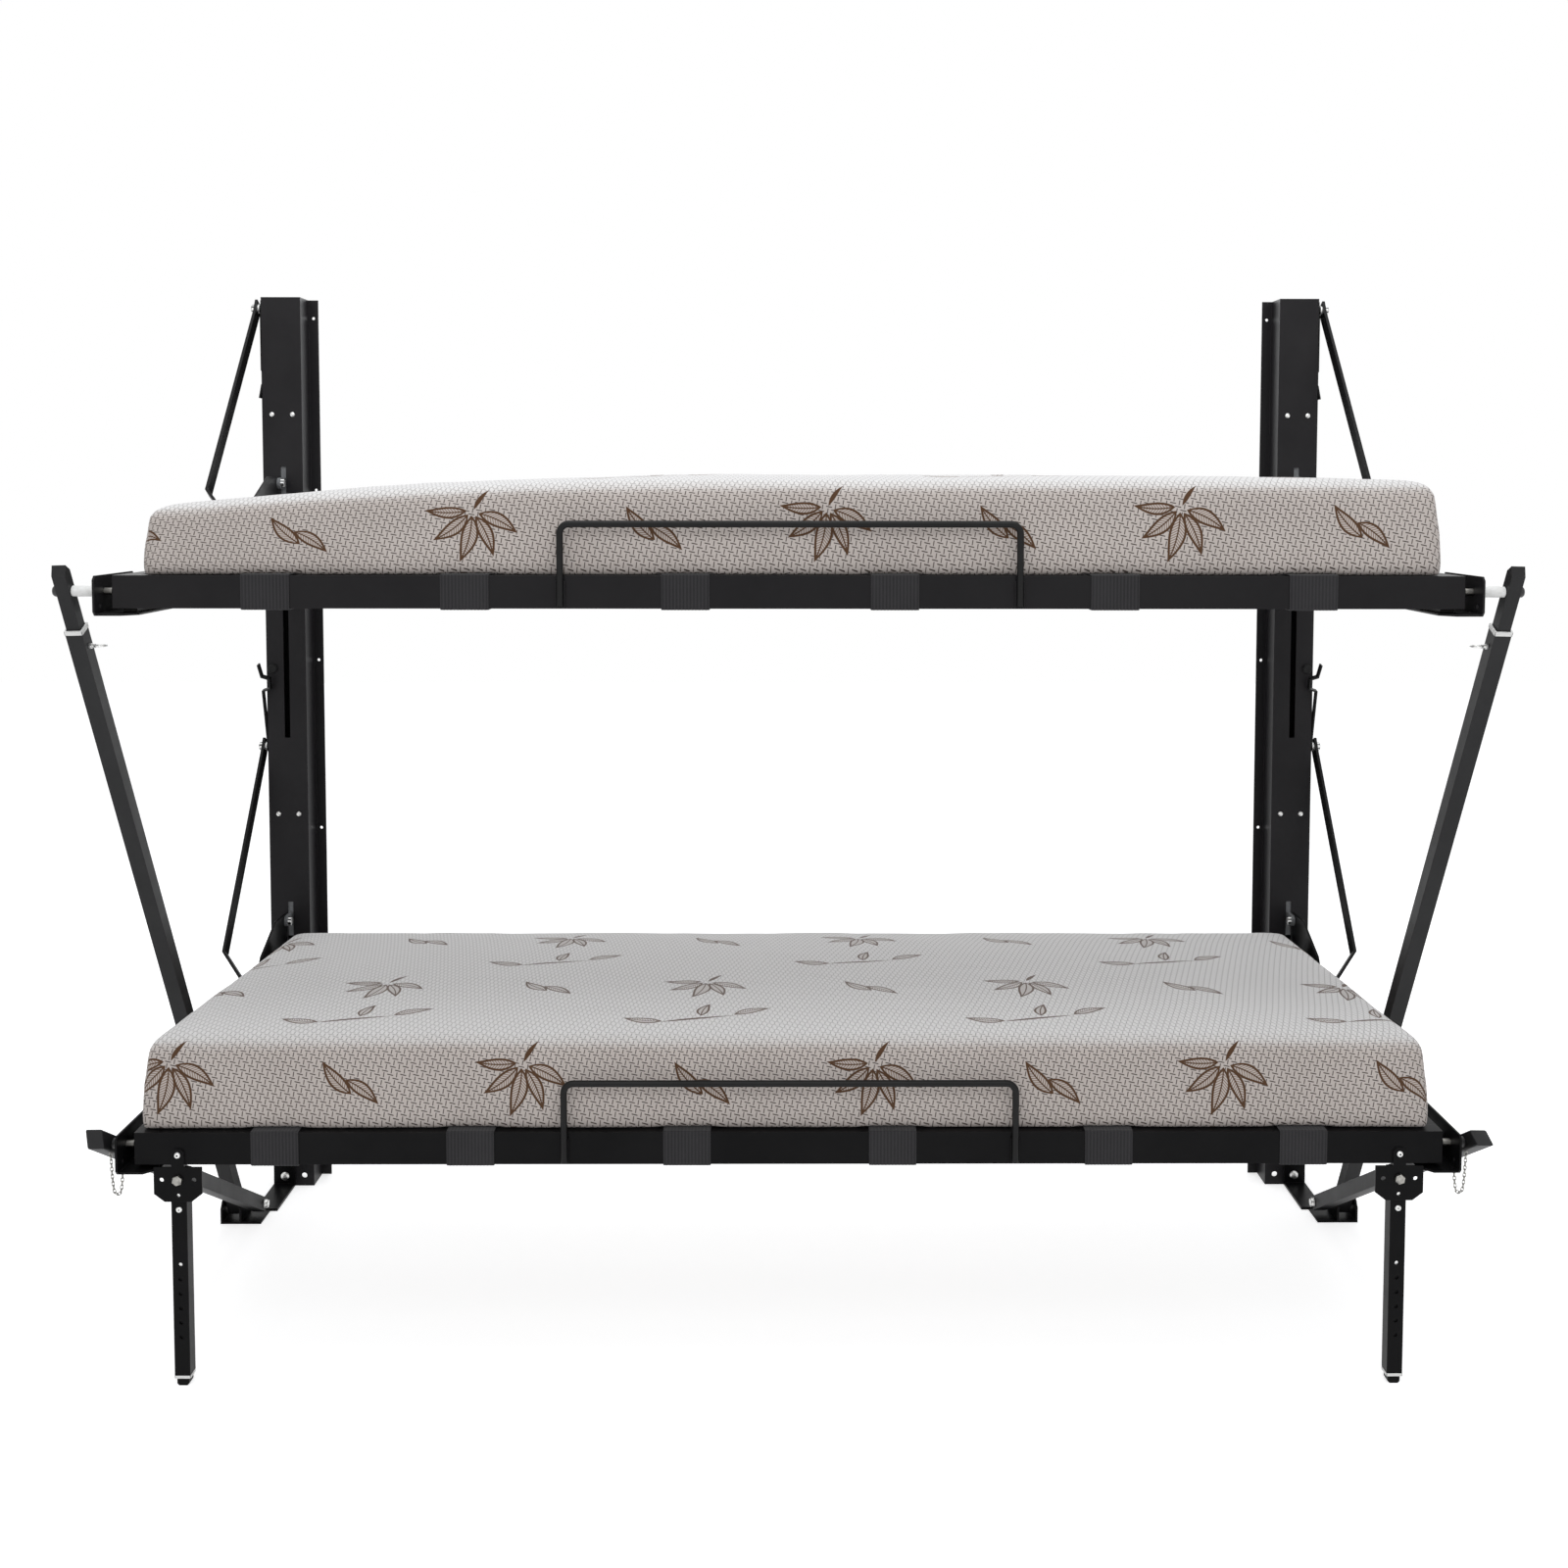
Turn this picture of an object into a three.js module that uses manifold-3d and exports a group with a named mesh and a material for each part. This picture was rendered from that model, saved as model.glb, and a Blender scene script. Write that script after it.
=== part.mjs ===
// Folding two-tier bunk bed for a wall: two steel posts carry two bed frames
// that slide down and turn up flat against the wall, with braces, corner struts and legs.
// Millimetres, +Z up, front of the bed towards -Y, origin in the middle of the footprint.
import * as THREE from "three";
import { mergeVertices } from "three/addons/utils/BufferGeometryUtils.js";
import Module from "manifold-3d";

const wasm = await Module();
wasm.setup();

// Clearances
const RUNNING_GAP = 0.4;
const SEAT_GAP = 0.3;
const TELESCOPE_GAP = 0.5;

// Wall posts
const POST_ABOVE_BRACE_PIVOT = 20;
const POST_INSIDE_RAIL_END = 32.5;
const POST_WIDTH = 73;
const POST_DEPTH = 60;
const POST_WALL = 3;
const POST_FLANGE = 18;
const SLOT_WIDTH = 10.5;
const SLOT_ABOVE_PIVOT = 31;
const SLOT_BELOW_PIVOT = 30;
const FLANGE_HOLE_RADIUS = 3;
const FLANGE_HOLES = 6;
const FLANGE_HOLE_END = 34;
const UPPER_RIVETS_DROP = 197;
const LOWER_RIVETS_DROP = 126;
const RIVET_SPACING = 38;
const RIVET_RADIUS = 4.5;
const RIVET_DOME = 2.6;
const FOOT_HOLE_SPACING = 36;
const FOOT_HOLE_HEIGHT = 20;
const KNOB_RADIUS = 8;
const KNOB_LENGTH = 6;
const KNOB_ABOVE_BRACE_PIVOT = 150;

// Bed frames
const LOWER_RAIL_TOP = 385;
const BED_SPACING = 823;
const UPPER_RAIL_LENGTH = 1962;
const LOWER_RAIL_STEP_IN = 14;
const RAIL_HEIGHT = 48;
const RAIL_DEPTH = 30;
const RAIL_WALL = 2;
const FRONT_FACE = 812;
const REAR_FACE = 98;
const CORNER_PLATE_OFFSET = 19;
const CORNER_PLATE_THICKNESS = 3;
const CORNER_PLATE_DROP = 58;
const CORNER_PLATE_LENGTH = 170;
const CORNER_PLATE_AHEAD = 18;
const CORNER_LIP_INSIDE = 36;
const CORNER_CHAMFER = 20;
const CORNER_EASE = 6;
const CORNER_HOLE_SETBACK = 4;
const CORNER_HOLE_DROP = 44;
const RISER_WIDTH = 20;
const GUSSET_THICKNESS = 4;
const GUSSET_TOP_RUN = 56;
const GUSSET_LENGTH = 216;
const GUSSET_REAR = 14;
const GUSSET_RISE = 12;
const GUSSET_ROOT = 5;
const GUSSET_SHOULDER_AT = 147;
const GUSSET_SHOULDER_DROP = 30;

// Rear pivots and their sliders
const PIVOT_ABOVE_RAIL = 135;
const PIVOT_FROM_WALL = 84;
const PIVOT_BOLT_RADIUS = 5;
const BOLT_HEAD_RADIUS = 8;
const BOLT_HEAD_HEIGHT = 6;
const TONGUE_THICKNESS = 6;
const TONGUE_NOSE = 10;
const SLIDER_HALF_HEIGHT = 35;
const SLIDER_DEPTH = 30;
const SLIDER_SIDE_GAP = 1.5;

// Braces and stow hooks
const BRACE_PIVOT_RISE = 325;
const BRACE_PIVOT_FROM_WALL = 40;
const BRACE_FOOT_FORWARD = 250;
const BRACE_FOOT_DROP = 150;
const BRACE_WIDTH = 25;
const BRACE_THICKNESS = 5;
const UPPER_BRACE_FLARE = 44;
const LOWER_BRACE_FLARE = 30;
const BRACE_FLARE_AT = 0.72;
const BRACE_RETURN_AT = 0.815;
const HOOK_WIDTH = 12;
const HOOK_THICKNESS = 3;
const HOOK_REACH = 118;
const HOOK_NOTCH = 24;
const HOOK_TAIL = 24;
const UPPER_HOOK_DEPTH = 2.4;
const LOWER_HOOK_DEPTH = 14;
const LOWER_HOOK_LEAN = THREE.MathUtils.degToRad(15);
const WASHER_RADIUS = 9;
const WASHER_THICKNESS = 3;

// Corner struts and their floor brackets
const STRUT_FOOT_FROM_WALL = 205;
const STRUT_FOOT_HEIGHT = 25;
const UPPER_STRUT_FOOT_OUTSIDE = 34;
const LOWER_STRUT_FOOT_INSIDE = 5;
const UPPER_CORNER_OUTSIDE = 76;
const LOWER_CORNER_OUTSIDE = 38;
const CORNER_PIN_SETBACK = 22;
const CORNER_PIN_DROP = 24;
const CORNER_PIN_RADIUS = 5;
const STRUT_TUBE = 25;
const STRUT_WALL = 2;
const STRUT_FOOT_END = 12.5;
const INNER_TUBE = STRUT_TUBE - 2 * STRUT_WALL - 2 * TELESCOPE_GAP;
const INNER_WALL = 1.6;
const INNER_LENGTH = 505;
const INNER_ABOVE_PIN = 44;
const COLLAR_BELOW_PIN = 68;
const COLLAR_HEIGHT = 6;
const COLLAR_PROUD = 0.6;
const LOWER_STRUT_BEYOND_PIN = 45;
const LOWER_STRUT_END_CUT = 18;
const SPACER_RADIUS = 8;
const NUT_RADIUS = 11;
const NUT_THICKNESS = 6;
const DOME_HEAD_HEIGHT = 8;
const DOME_HEAD_RADIUS = 8.5;
const STUB_LENGTH = 12;
const PULL_PIN_BELOW_COLLAR = 27;
const PULL_PIN_RADIUS = 3;
const PULL_PIN_LENGTH = 9;
const PULL_FERRULE_RADIUS = 4.5;
const PULL_FERRULE_LENGTH = 4;
const PULL_RING_RADIUS = 9;
const PULL_RING_WIRE = 1.3;
const BRACKET_PLATE = 3;
const BRACKET_WALL = 3.5;
const BRACKET_INSIDE = 20;
const BRACKET_OUTSIDE = 53;
const BRACKET_DIVIDER_OUTSIDE = 15.5;
const BRACKET_REAR = 178;
const BRACKET_FRONT = 236;
const BRACKET_HEIGHT = 42;
const BRACKET_TAPER = 14;
const FLOOR_STRAP_WIDTH = 40;
const FLOOR_STRAP_THICKNESS = 5;
const FLOOR_STRAP_INSIDE = 13;
const FLOOR_TAB_HEIGHT = 40;

// Retaining chains of the lower strut pins
const CHAIN_DIAMETER = 3.6;
const CHAIN_SPAN = 7;
const CHAIN_SAG = 40;
const CHAIN_STEPS = 12;

// Legs of the lower bed
const LEG_INSIDE_RAIL_END = 64;
const LEG_PIVOT_DROP = 70;
const LEG_TUBE = 23;
const LEG_WALL = 2;
const LEG_ABOVE_PIVOT = 11;
const LEG_BOTTOM = 15;
const LEG_BOLT_RADIUS = 4;
const LEG_BOLT_HEAD_RADIUS = 7.5;
const LEG_PLATE_THICKNESS = 3;
const LEG_PLATE_WIDTH = 71;
const LEG_PLATE_TOP = 51;
const LEG_PLATE_BOTTOM = 103;
const LEG_PLATE_CHAMFER = 12;
const LEG_TAB_WIDTH = 19;
const LEG_TAB_TOP = 24;
const LEG_TAB_BOLT_DROP = 33;
const LOCK_HOLE_RING = 24;
const LOCK_HOLE_RADIUS = 3.4;
const BUTTON_RADIUS = 3;
const BUTTON_LENGTH = 9;
const FOOT_BUTTON_DROP = 130;
const LEG_HOLE_PITCH = 22;
const LEG_HOLES = 6;
const LEG_RIVET_DROP = 46;
const FOOT_TUBE = LEG_TUBE - 2 * LEG_WALL - 2 * TELESCOPE_GAP;
const FOOT_ABOVE_BUTTON = 14;
const FOOT_CHAMFER = 3;
const LEG_COLLAR_HEIGHT = 3;

// Webbing, guards and mattresses
const STRAP_PLACES = [-0.775, -0.481, -0.155, 0.155, 0.481, 0.775];
const STRAP_WIDTH = 70;
const STRAP_THICKNESS = 2;
const GUARD_HALF_WIDTH = 333;
const GUARD_RISE = 80;
const GUARD_RADIUS = 5;
const GUARD_BEND = 14;
const GUARD_FOOT = 44;
const GUARD_SOCKET_TOP = 8;
const GUARD_SOCKET_WALL = 1.5;
const GUARD_SOCKET_DEPTH = 5;
const MATTRESS_END_GAP = 31.5;
const MATTRESS_SIDE_GAP = 2.5;
const MATTRESS_EDGE = 98;
const MATTRESS_CROWN = 28;
const MATTRESS_CROWN_POWER = 4;
const MATTRESS_CORNER = 42;
const MATTRESS_DRAW_IN = 5;

const ROUND_STEPS = 14;
const SMALL_STEPS = 12;
const TAU = Math.PI * 2;

// Materials
const finish = (color, roughness, metalness) => () =>
  new THREE.MeshStandardMaterial({ color, roughness, metalness });
const postPaint = finish(0x38363a, 0.42, 0.35);
const railPaint = finish(0x2a282b, 0.45, 0.35);
const tubePaint = finish(0x2c2c2d, 0.5, 0.3);
const barPaint = finish(0x161616, 0.4, 0.35);
const zinc = finish(0xc9c9c6, 0.3, 0.9);
const blackOxide = finish(0x1c1c1e, 0.45, 0.6);
const greyPlastic = finish(0xc4c6c7, 0.55, 0);
const webbing = finish(0x3b373d, 0.9, 0);
const ticking = finish(0xcfc8c1, 0.95, 0);

// Booleans
function solidOf(geometry) {
  const bare = geometry.clone();
  bare.deleteAttribute("normal");
  bare.deleteAttribute("uv");
  const merged = mergeVertices(bare, 1e-4);
  return new wasm.Manifold(
    new wasm.Mesh({
      numProp: 3,
      vertProperties: new Float32Array(merged.attributes.position.array),
      triVerts: new Uint32Array(merged.index.array),
    }),
  );
}

function geometryOf(solid) {
  const mesh = solid.getMesh();
  const geometry = new THREE.BufferGeometry();
  geometry.setAttribute("position", new THREE.BufferAttribute(mesh.vertProperties, 3));
  geometry.setIndex(new THREE.BufferAttribute(mesh.triVerts, 1));
  geometry.computeVertexNormals();
  return geometry;
}

function join(...geometries) {
  return geometryOf(geometries.map(solidOf).reduce((a, b) => a.add(b)));
}

function cut(geometry, ...tools) {
  return geometryOf(tools.map(solidOf).reduce((a, b) => a.subtract(b), solidOf(geometry)));
}

// Basic shapes. Depths u are measured forward from the wall, so y is -u.
function block(x0, x1, u0, u1, z0, z1) {
  const shape = new THREE.BoxGeometry(x1 - x0, u1 - u0, z1 - z0);
  return shape.translate((x0 + x1) / 2, -(u0 + u1) / 2, (z0 + z1) / 2);
}

function rod(radius, from, to, steps = ROUND_STEPS) {
  const a = new THREE.Vector3(...from);
  const b = new THREE.Vector3(...to);
  const shape = new THREE.CylinderGeometry(radius, radius, a.distanceTo(b), steps);
  const turn = new THREE.Quaternion().setFromUnitVectors(
    new THREE.Vector3(0, 1, 0),
    b.clone().sub(a).normalize(),
  );
  return shape.applyQuaternion(turn).translate(...a.add(b).multiplyScalar(0.5).toArray());
}

const rodX = (radius, x0, x1, u, z, steps) => rod(radius, [x0, -u, z], [x1, -u, z], steps);
const rodY = (radius, u0, u1, x, z, steps) => rod(radius, [x, -u0, z], [x, -u1, z], steps);

// Dome of a rivet or bolt head: its flat side at the point, its crown towards the direction.
function dome(radius, height, at, direction) {
  const rings = 3;
  const profile = [new THREE.Vector2(0, 0)];
  for (let i = 0; i <= rings; i++) {
    const angle = (Math.PI / 2) * (i / rings);
    profile.push(new THREE.Vector2(radius * Math.cos(angle), height * Math.sin(angle)));
  }
  profile[rings + 1].x = 0;
  const shape = new THREE.LatheGeometry(profile, ROUND_STEPS - 2);
  const turn = new THREE.Quaternion().setFromUnitVectors(
    new THREE.Vector3(0, 1, 0),
    new THREE.Vector3(...direction),
  );
  return shape.applyQuaternion(turn).translate(...at);
}

// Plate in a plane of constant x: outline points are [u, z].
function sidePlate(outline, x0, x1, holes = []) {
  const shape = new THREE.Shape(outline.map(([u, z]) => new THREE.Vector2(u, z)));
  for (const hole of holes) {
    shape.holes.push(new THREE.Path(hole.map(([u, z]) => new THREE.Vector2(u, z))));
  }
  const plate = new THREE.ExtrudeGeometry(shape, { depth: x1 - x0, bevelEnabled: false });
  const axes = new THREE.Matrix4().makeBasis(
    new THREE.Vector3(0, -1, 0),
    new THREE.Vector3(0, 0, 1),
    new THREE.Vector3(-1, 0, 0),
  );
  return plate.applyMatrix4(axes).translate(x1, 0, 0);
}

// Plate lying flat: outline points are [x, u].
function floorPlate(outline, z0, z1) {
  const shape = new THREE.Shape(outline.map(([x, u]) => new THREE.Vector2(x, -u)));
  const plate = new THREE.ExtrudeGeometry(shape, { depth: z1 - z0, bevelEnabled: false });
  return plate.translate(0, 0, z0);
}

// Plate facing the front: outline points are [x, z].
function frontPlate(outline, u0, u1) {
  const shape = new THREE.Shape(outline.map(([x, z]) => new THREE.Vector2(x, z)));
  const plate = new THREE.ExtrudeGeometry(shape, { depth: u1 - u0, bevelEnabled: false });
  return plate.rotateX(Math.PI / 2).translate(0, -u0, 0);
}

// Flat bar bent along a path: the path is [along, out], the bar keeps its thickness.
function bentBar(path, thickness, width) {
  const points = path.map(([a, b]) => new THREE.Vector2(a, b));
  const half = thickness / 2;
  const side = (sign) =>
    points.map((p, i) => {
      const before = i > 0 ? p.clone().sub(points[i - 1]).normalize() : null;
      const after = i < points.length - 1 ? points[i + 1].clone().sub(p).normalize() : null;
      const mean = (before ?? after).clone().add(after ?? before).normalize();
      const normal = new THREE.Vector2(-mean.y, mean.x);
      const square = before ?? after;
      const stretch = 1 / (mean.x * square.x + mean.y * square.y);
      return p.clone().addScaledVector(normal, sign * half * stretch);
    });
  const outline = [...side(1), ...side(-1).reverse()];
  const bar = new THREE.ExtrudeGeometry(new THREE.Shape(outline), {
    depth: width,
    bevelEnabled: false,
  });
  return bar.translate(0, 0, -width / 2);
}

// Rectangular tube along z, open at both ends, centred on the z axis.
function squareTube(size, wall, z0, z1) {
  const outer = new THREE.BoxGeometry(size, size, z1 - z0);
  const bore = new THREE.BoxGeometry(size - 2 * wall, size - 2 * wall, z1 - z0 + 2);
  return cut(outer, bore).translate(0, 0, (z0 + z1) / 2);
}

function mesh(name, geometry, material) {
  const piece = new THREE.Mesh(geometry, material());
  piece.name = name;
  return piece;
}

// Side pieces are drawn for +X, and the left one is the mirror image.
const frame = new THREE.Group();
const SIDES = [
  ["left", -1],
  ["right", 1],
];

function addPair(suffix, geometry, material, prefix = "") {
  for (const [side, sign] of SIDES) {
    const piece = mesh(prefix + side + "_" + suffix, geometry.clone(), material);
    piece.scale.x = sign;
    frame.add(piece);
  }
}

const addBedPair = (bed, suffix, geometry, material) =>
  addPair(suffix, geometry, material, bed.name + "_");

// Heights and places that follow from the driving sizes
const RAIL_END = UPPER_RAIL_LENGTH / 2;
const BEDS = [
  {
    name: "upper",
    top: LOWER_RAIL_TOP + BED_SPACING,
    half: RAIL_END,
    flareX: RAIL_END + UPPER_BRACE_FLARE,
    rivets: UPPER_RIVETS_DROP,
  },
  {
    name: "lower",
    top: LOWER_RAIL_TOP,
    half: RAIL_END - LOWER_RAIL_STEP_IN,
    flareX: RAIL_END + LOWER_BRACE_FLARE,
    rivets: LOWER_RIVETS_DROP,
  },
];
for (const bed of BEDS) {
  bed.pivot = bed.top + PIVOT_ABOVE_RAIL;
  bed.bracePivot = bed.pivot + BRACE_PIVOT_RISE;
  bed.cornerInside = bed.half + CORNER_PLATE_OFFSET;
  bed.cornerOutside = bed.cornerInside + CORNER_PLATE_THICKNESS;
  bed.pinHeight = bed.top - CORNER_PIN_DROP;
}
const [UPPER, LOWER] = BEDS;
const PIN_FROM_WALL = FRONT_FACE - CORNER_PIN_SETBACK;
const PIVOT_SETBACK = PIVOT_FROM_WALL - BRACE_PIVOT_FROM_WALL;
const BRACE_LENGTH = Math.hypot(
  BRACE_FOOT_FORWARD + PIVOT_SETBACK,
  BRACE_PIVOT_RISE + BRACE_FOOT_DROP,
);
const SLIDE_TRAVEL =
  Math.sqrt(BRACE_LENGTH ** 2 - (BRACE_FOOT_DROP + PIVOT_SETBACK) ** 2) +
  BRACE_FOOT_FORWARD -
  BRACE_PIVOT_RISE;
const POST_TOP = UPPER.bracePivot + POST_ABOVE_BRACE_PIVOT;
const POST_CENTRE_X = RAIL_END - POST_INSIDE_RAIL_END;
const POST_OUTER_X = POST_CENTRE_X + POST_WIDTH / 2;
const HOOK_X = POST_OUTER_X + WASHER_THICKNESS + RUNNING_GAP + HOOK_THICKNESS / 2;
const BRACE_X =
  HOOK_X + HOOK_THICKNESS / 2 + WASHER_THICKNESS + 2 * RUNNING_GAP + BRACE_THICKNESS / 2;
const UPPER_STRUT_FOOT_X = RAIL_END + UPPER_STRUT_FOOT_OUTSIDE;
const LOWER_STRUT_FOOT_X = RAIL_END - LOWER_STRUT_FOOT_INSIDE;
const UPPER_CORNER_X = RAIL_END + UPPER_CORNER_OUTSIDE;
const LOWER_CORNER_X = RAIL_END + LOWER_CORNER_OUTSIDE;
const BRACKET_INNER_X = RAIL_END - BRACKET_INSIDE;
const BRACKET_OUTER_X = RAIL_END + BRACKET_OUTSIDE;
const BRACKET_DIVIDER_X = RAIL_END + BRACKET_DIVIDER_OUTSIDE;
const FLOOR_STRAP_X = RAIL_END - FLOOR_STRAP_INSIDE;
const LEG_X = LOWER.half - LEG_INSIDE_RAIL_END;
const HOLE_FOR_PIVOT = PIVOT_BOLT_RADIUS + RUNNING_GAP;

// Wall posts: a hat section, open to the wall, with a slot for each bed's tongue
{
  const h = POST_WIDTH / 2;
  const outline = [
    [-h - POST_FLANGE, 0],
    [-h + POST_WALL, 0],
    [-h + POST_WALL, POST_DEPTH - POST_WALL],
    [h - POST_WALL, POST_DEPTH - POST_WALL],
    [h - POST_WALL, 0],
    [h + POST_FLANGE, 0],
    [h + POST_FLANGE, POST_WALL],
    [h, POST_WALL],
    [h, POST_DEPTH],
    [-h, POST_DEPTH],
    [-h, POST_WALL],
    [-h - POST_FLANGE, POST_WALL],
  ].map(([x, u]) => [x + POST_CENTRE_X, u]);
  const tools = [];
  for (const bed of BEDS) {
    tools.push(
      block(
        POST_CENTRE_X - SLOT_WIDTH / 2,
        POST_CENTRE_X + SLOT_WIDTH / 2,
        POST_DEPTH - 2 * POST_WALL,
        POST_DEPTH + POST_WALL,
        bed.pivot - SLIDE_TRAVEL - SLOT_BELOW_PIVOT,
        bed.pivot + SLOT_ABOVE_PIVOT,
      ),
    );
  }
  for (let i = 0; i < FLANGE_HOLES; i++) {
    const spread = POST_TOP - 2 * FLANGE_HOLE_END;
    const height = FLANGE_HOLE_END + (spread * i) / (FLANGE_HOLES - 1);
    for (const sign of [-1, 1]) {
      const x = POST_CENTRE_X + sign * (h + POST_FLANGE / 2);
      tools.push(rodY(FLANGE_HOLE_RADIUS, -POST_WALL, 2 * POST_WALL, x, height, 8));
    }
  }
  for (const sign of [-1, 1]) {
    const x = POST_CENTRE_X + (sign * FOOT_HOLE_SPACING) / 2;
    const bore = [POST_DEPTH - 2 * POST_WALL, POST_DEPTH + POST_WALL, x, FOOT_HOLE_HEIGHT];
    tools.push(rodY(HOLE_FOR_PIVOT, ...bore));
  }
  const fixed = [
    rodY(
      KNOB_RADIUS,
      POST_DEPTH - POST_WALL / 2,
      POST_DEPTH + KNOB_LENGTH,
      POST_OUTER_X - KNOB_RADIUS - POST_WALL,
      LOWER.bracePivot + KNOB_ABOVE_BRACE_PIVOT,
    ),
  ];
  for (const bed of BEDS) {
    for (const sign of [-1, 1]) {
      const x = POST_CENTRE_X + (sign * RIVET_SPACING) / 2;
      const at = [x, 1 - POST_DEPTH, bed.bracePivot - bed.rivets];
      fixed.push(dome(RIVET_RADIUS, RIVET_DOME + 1, at, [0, -1, 0]));
    }
  }
  for (const bed of BEDS) fixed.push(...bracePivotBolt(bed));
  addPair("post", join(cut(floorPlate(outline, 0, POST_TOP), ...tools), ...fixed), postPaint);
}

// Bolt through the post's side, with a washer on each side of the hook.
function bracePivotBolt(bed) {
  const at = [BRACE_PIVOT_FROM_WALL, bed.bracePivot];
  const inside = POST_OUTER_X - POST_WALL;
  const hookFace = HOOK_X + HOOK_THICKNESS / 2 + RUNNING_GAP;
  const head = BRACE_X + BRACE_THICKNESS / 2 + RUNNING_GAP;
  return [
    rodX(PIVOT_BOLT_RADIUS, inside - 1, head + 1, ...at),
    rodX(BOLT_HEAD_RADIUS, inside - BOLT_HEAD_HEIGHT, inside + 1, ...at, 6),
    rodX(WASHER_RADIUS, inside + 1, POST_OUTER_X + WASHER_THICKNESS, ...at),
    rodX(WASHER_RADIUS, hookFace, hookFace + WASHER_THICKNESS, ...at),
    rodX(BOLT_HEAD_RADIUS, head, head + BOLT_HEAD_HEIGHT, ...at, 6),
  ];
}

// Floor brackets: a strap from the post's foot to a bracket that holds both strut feet
{
  const cheek = [
    [BRACKET_REAR, 0],
    [BRACKET_FRONT, 0],
    [BRACKET_FRONT, BRACKET_HEIGHT - BRACKET_TAPER],
    [BRACKET_FRONT - BRACKET_TAPER, BRACKET_HEIGHT],
    [BRACKET_REAR + BRACKET_TAPER, BRACKET_HEIGHT],
    [BRACKET_REAR, BRACKET_HEIGHT - BRACKET_TAPER],
  ];
  const strapInner = FLOOR_STRAP_X - FLOOR_STRAP_WIDTH / 2;
  const strapOuter = FLOOR_STRAP_X + FLOOR_STRAP_WIDTH / 2;
  const tabRear = POST_DEPTH + SEAT_GAP;
  const foot = [STRUT_FOOT_FROM_WALL, STRUT_FOOT_HEIGHT];
  const footHead = LOWER_STRUT_FOOT_X - STRUT_TUBE / 2 - 3 * RUNNING_GAP;
  const tabBolt = POST_CENTRE_X + FOOT_HOLE_SPACING / 2;
  const tabFace = tabRear + BRACKET_PLATE;
  const bracket = join(
    block(BRACKET_INNER_X, BRACKET_OUTER_X, BRACKET_REAR, BRACKET_FRONT, 0, BRACKET_PLATE),
    sidePlate(cheek, BRACKET_OUTER_X - BRACKET_WALL, BRACKET_OUTER_X),
    sidePlate(cheek, BRACKET_DIVIDER_X, BRACKET_DIVIDER_X + BRACKET_WALL),
    block(strapInner, strapOuter, tabRear, BRACKET_REAR + 1, 0, FLOOR_STRAP_THICKNESS),
    block(strapInner, strapOuter, tabRear, tabFace, 0, FLOOR_TAB_HEIGHT),
    rodX(PIVOT_BOLT_RADIUS, footHead - 1, BRACKET_OUTER_X + 1, ...foot),
    rodX(BOLT_HEAD_RADIUS, footHead - BOLT_HEAD_HEIGHT, footHead, ...foot, 6),
    rodX(BOLT_HEAD_RADIUS, BRACKET_OUTER_X - 1, BRACKET_OUTER_X + BOLT_HEAD_HEIGHT, ...foot, 6),
    rodY(PIVOT_BOLT_RADIUS, POST_DEPTH - 2 * POST_WALL, tabFace, tabBolt, FOOT_HOLE_HEIGHT),
    dome(
      BOLT_HEAD_RADIUS,
      RIVET_DOME + 1,
      [tabBolt, 1 - tabFace, FOOT_HOLE_HEIGHT],
      [0, -1, 0],
    ),
  );
  addPair("floor_bracket", bracket, barPaint);
}

// Sliders: a block inside each post with a tongue through the slot
for (const bed of BEDS) {
  const width = POST_WIDTH / 2 - POST_WALL - SLIDER_SIDE_GAP;
  const face = POST_DEPTH - POST_WALL - TELESCOPE_GAP;
  const nose = [];
  const noseSteps = 8;
  for (let i = 0; i <= noseSteps; i++) {
    const angle = -Math.PI / 2 + (Math.PI * i) / noseSteps;
    nose.push([
      PIVOT_FROM_WALL + TONGUE_NOSE * Math.cos(angle),
      bed.pivot + TONGUE_NOSE * Math.sin(angle),
    ]);
  }
  const tongue = [
    [face - SLIDER_DEPTH / 2, bed.pivot - TONGUE_NOSE],
    ...nose,
    [face - SLIDER_DEPTH / 2, bed.pivot + TONGUE_NOSE],
  ];
  const slider = join(
    block(
      POST_CENTRE_X - width,
      POST_CENTRE_X + width,
      face - SLIDER_DEPTH,
      face,
      bed.pivot - SLIDER_HALF_HEIGHT,
      bed.pivot + SLIDER_HALF_HEIGHT,
    ),
    sidePlate(tongue, POST_CENTRE_X - TONGUE_THICKNESS / 2, POST_CENTRE_X + TONGUE_THICKNESS / 2),
  );
  const bored = cut(
    slider,
    rodX(
      HOLE_FOR_PIVOT,
      POST_CENTRE_X - TONGUE_THICKNESS,
      POST_CENTRE_X + TONGUE_THICKNESS,
      PIVOT_FROM_WALL,
      bed.pivot,
    ),
  );
  addBedPair(bed, "slider", bored, greyPlastic);
}

// Bed frames
const railBottom = (bed) => bed.top - RAIL_HEIGHT;

function rail(bed, u0, u1) {
  const wall = RAIL_WALL;
  const over = 2;
  return cut(
    block(-bed.half, bed.half, u0, u1, railBottom(bed), bed.top),
    block(
      -bed.half - over,
      bed.half + over,
      u0 + wall,
      u1 - wall,
      railBottom(bed) + wall,
      bed.top - wall,
    ),
  );
}

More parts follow.
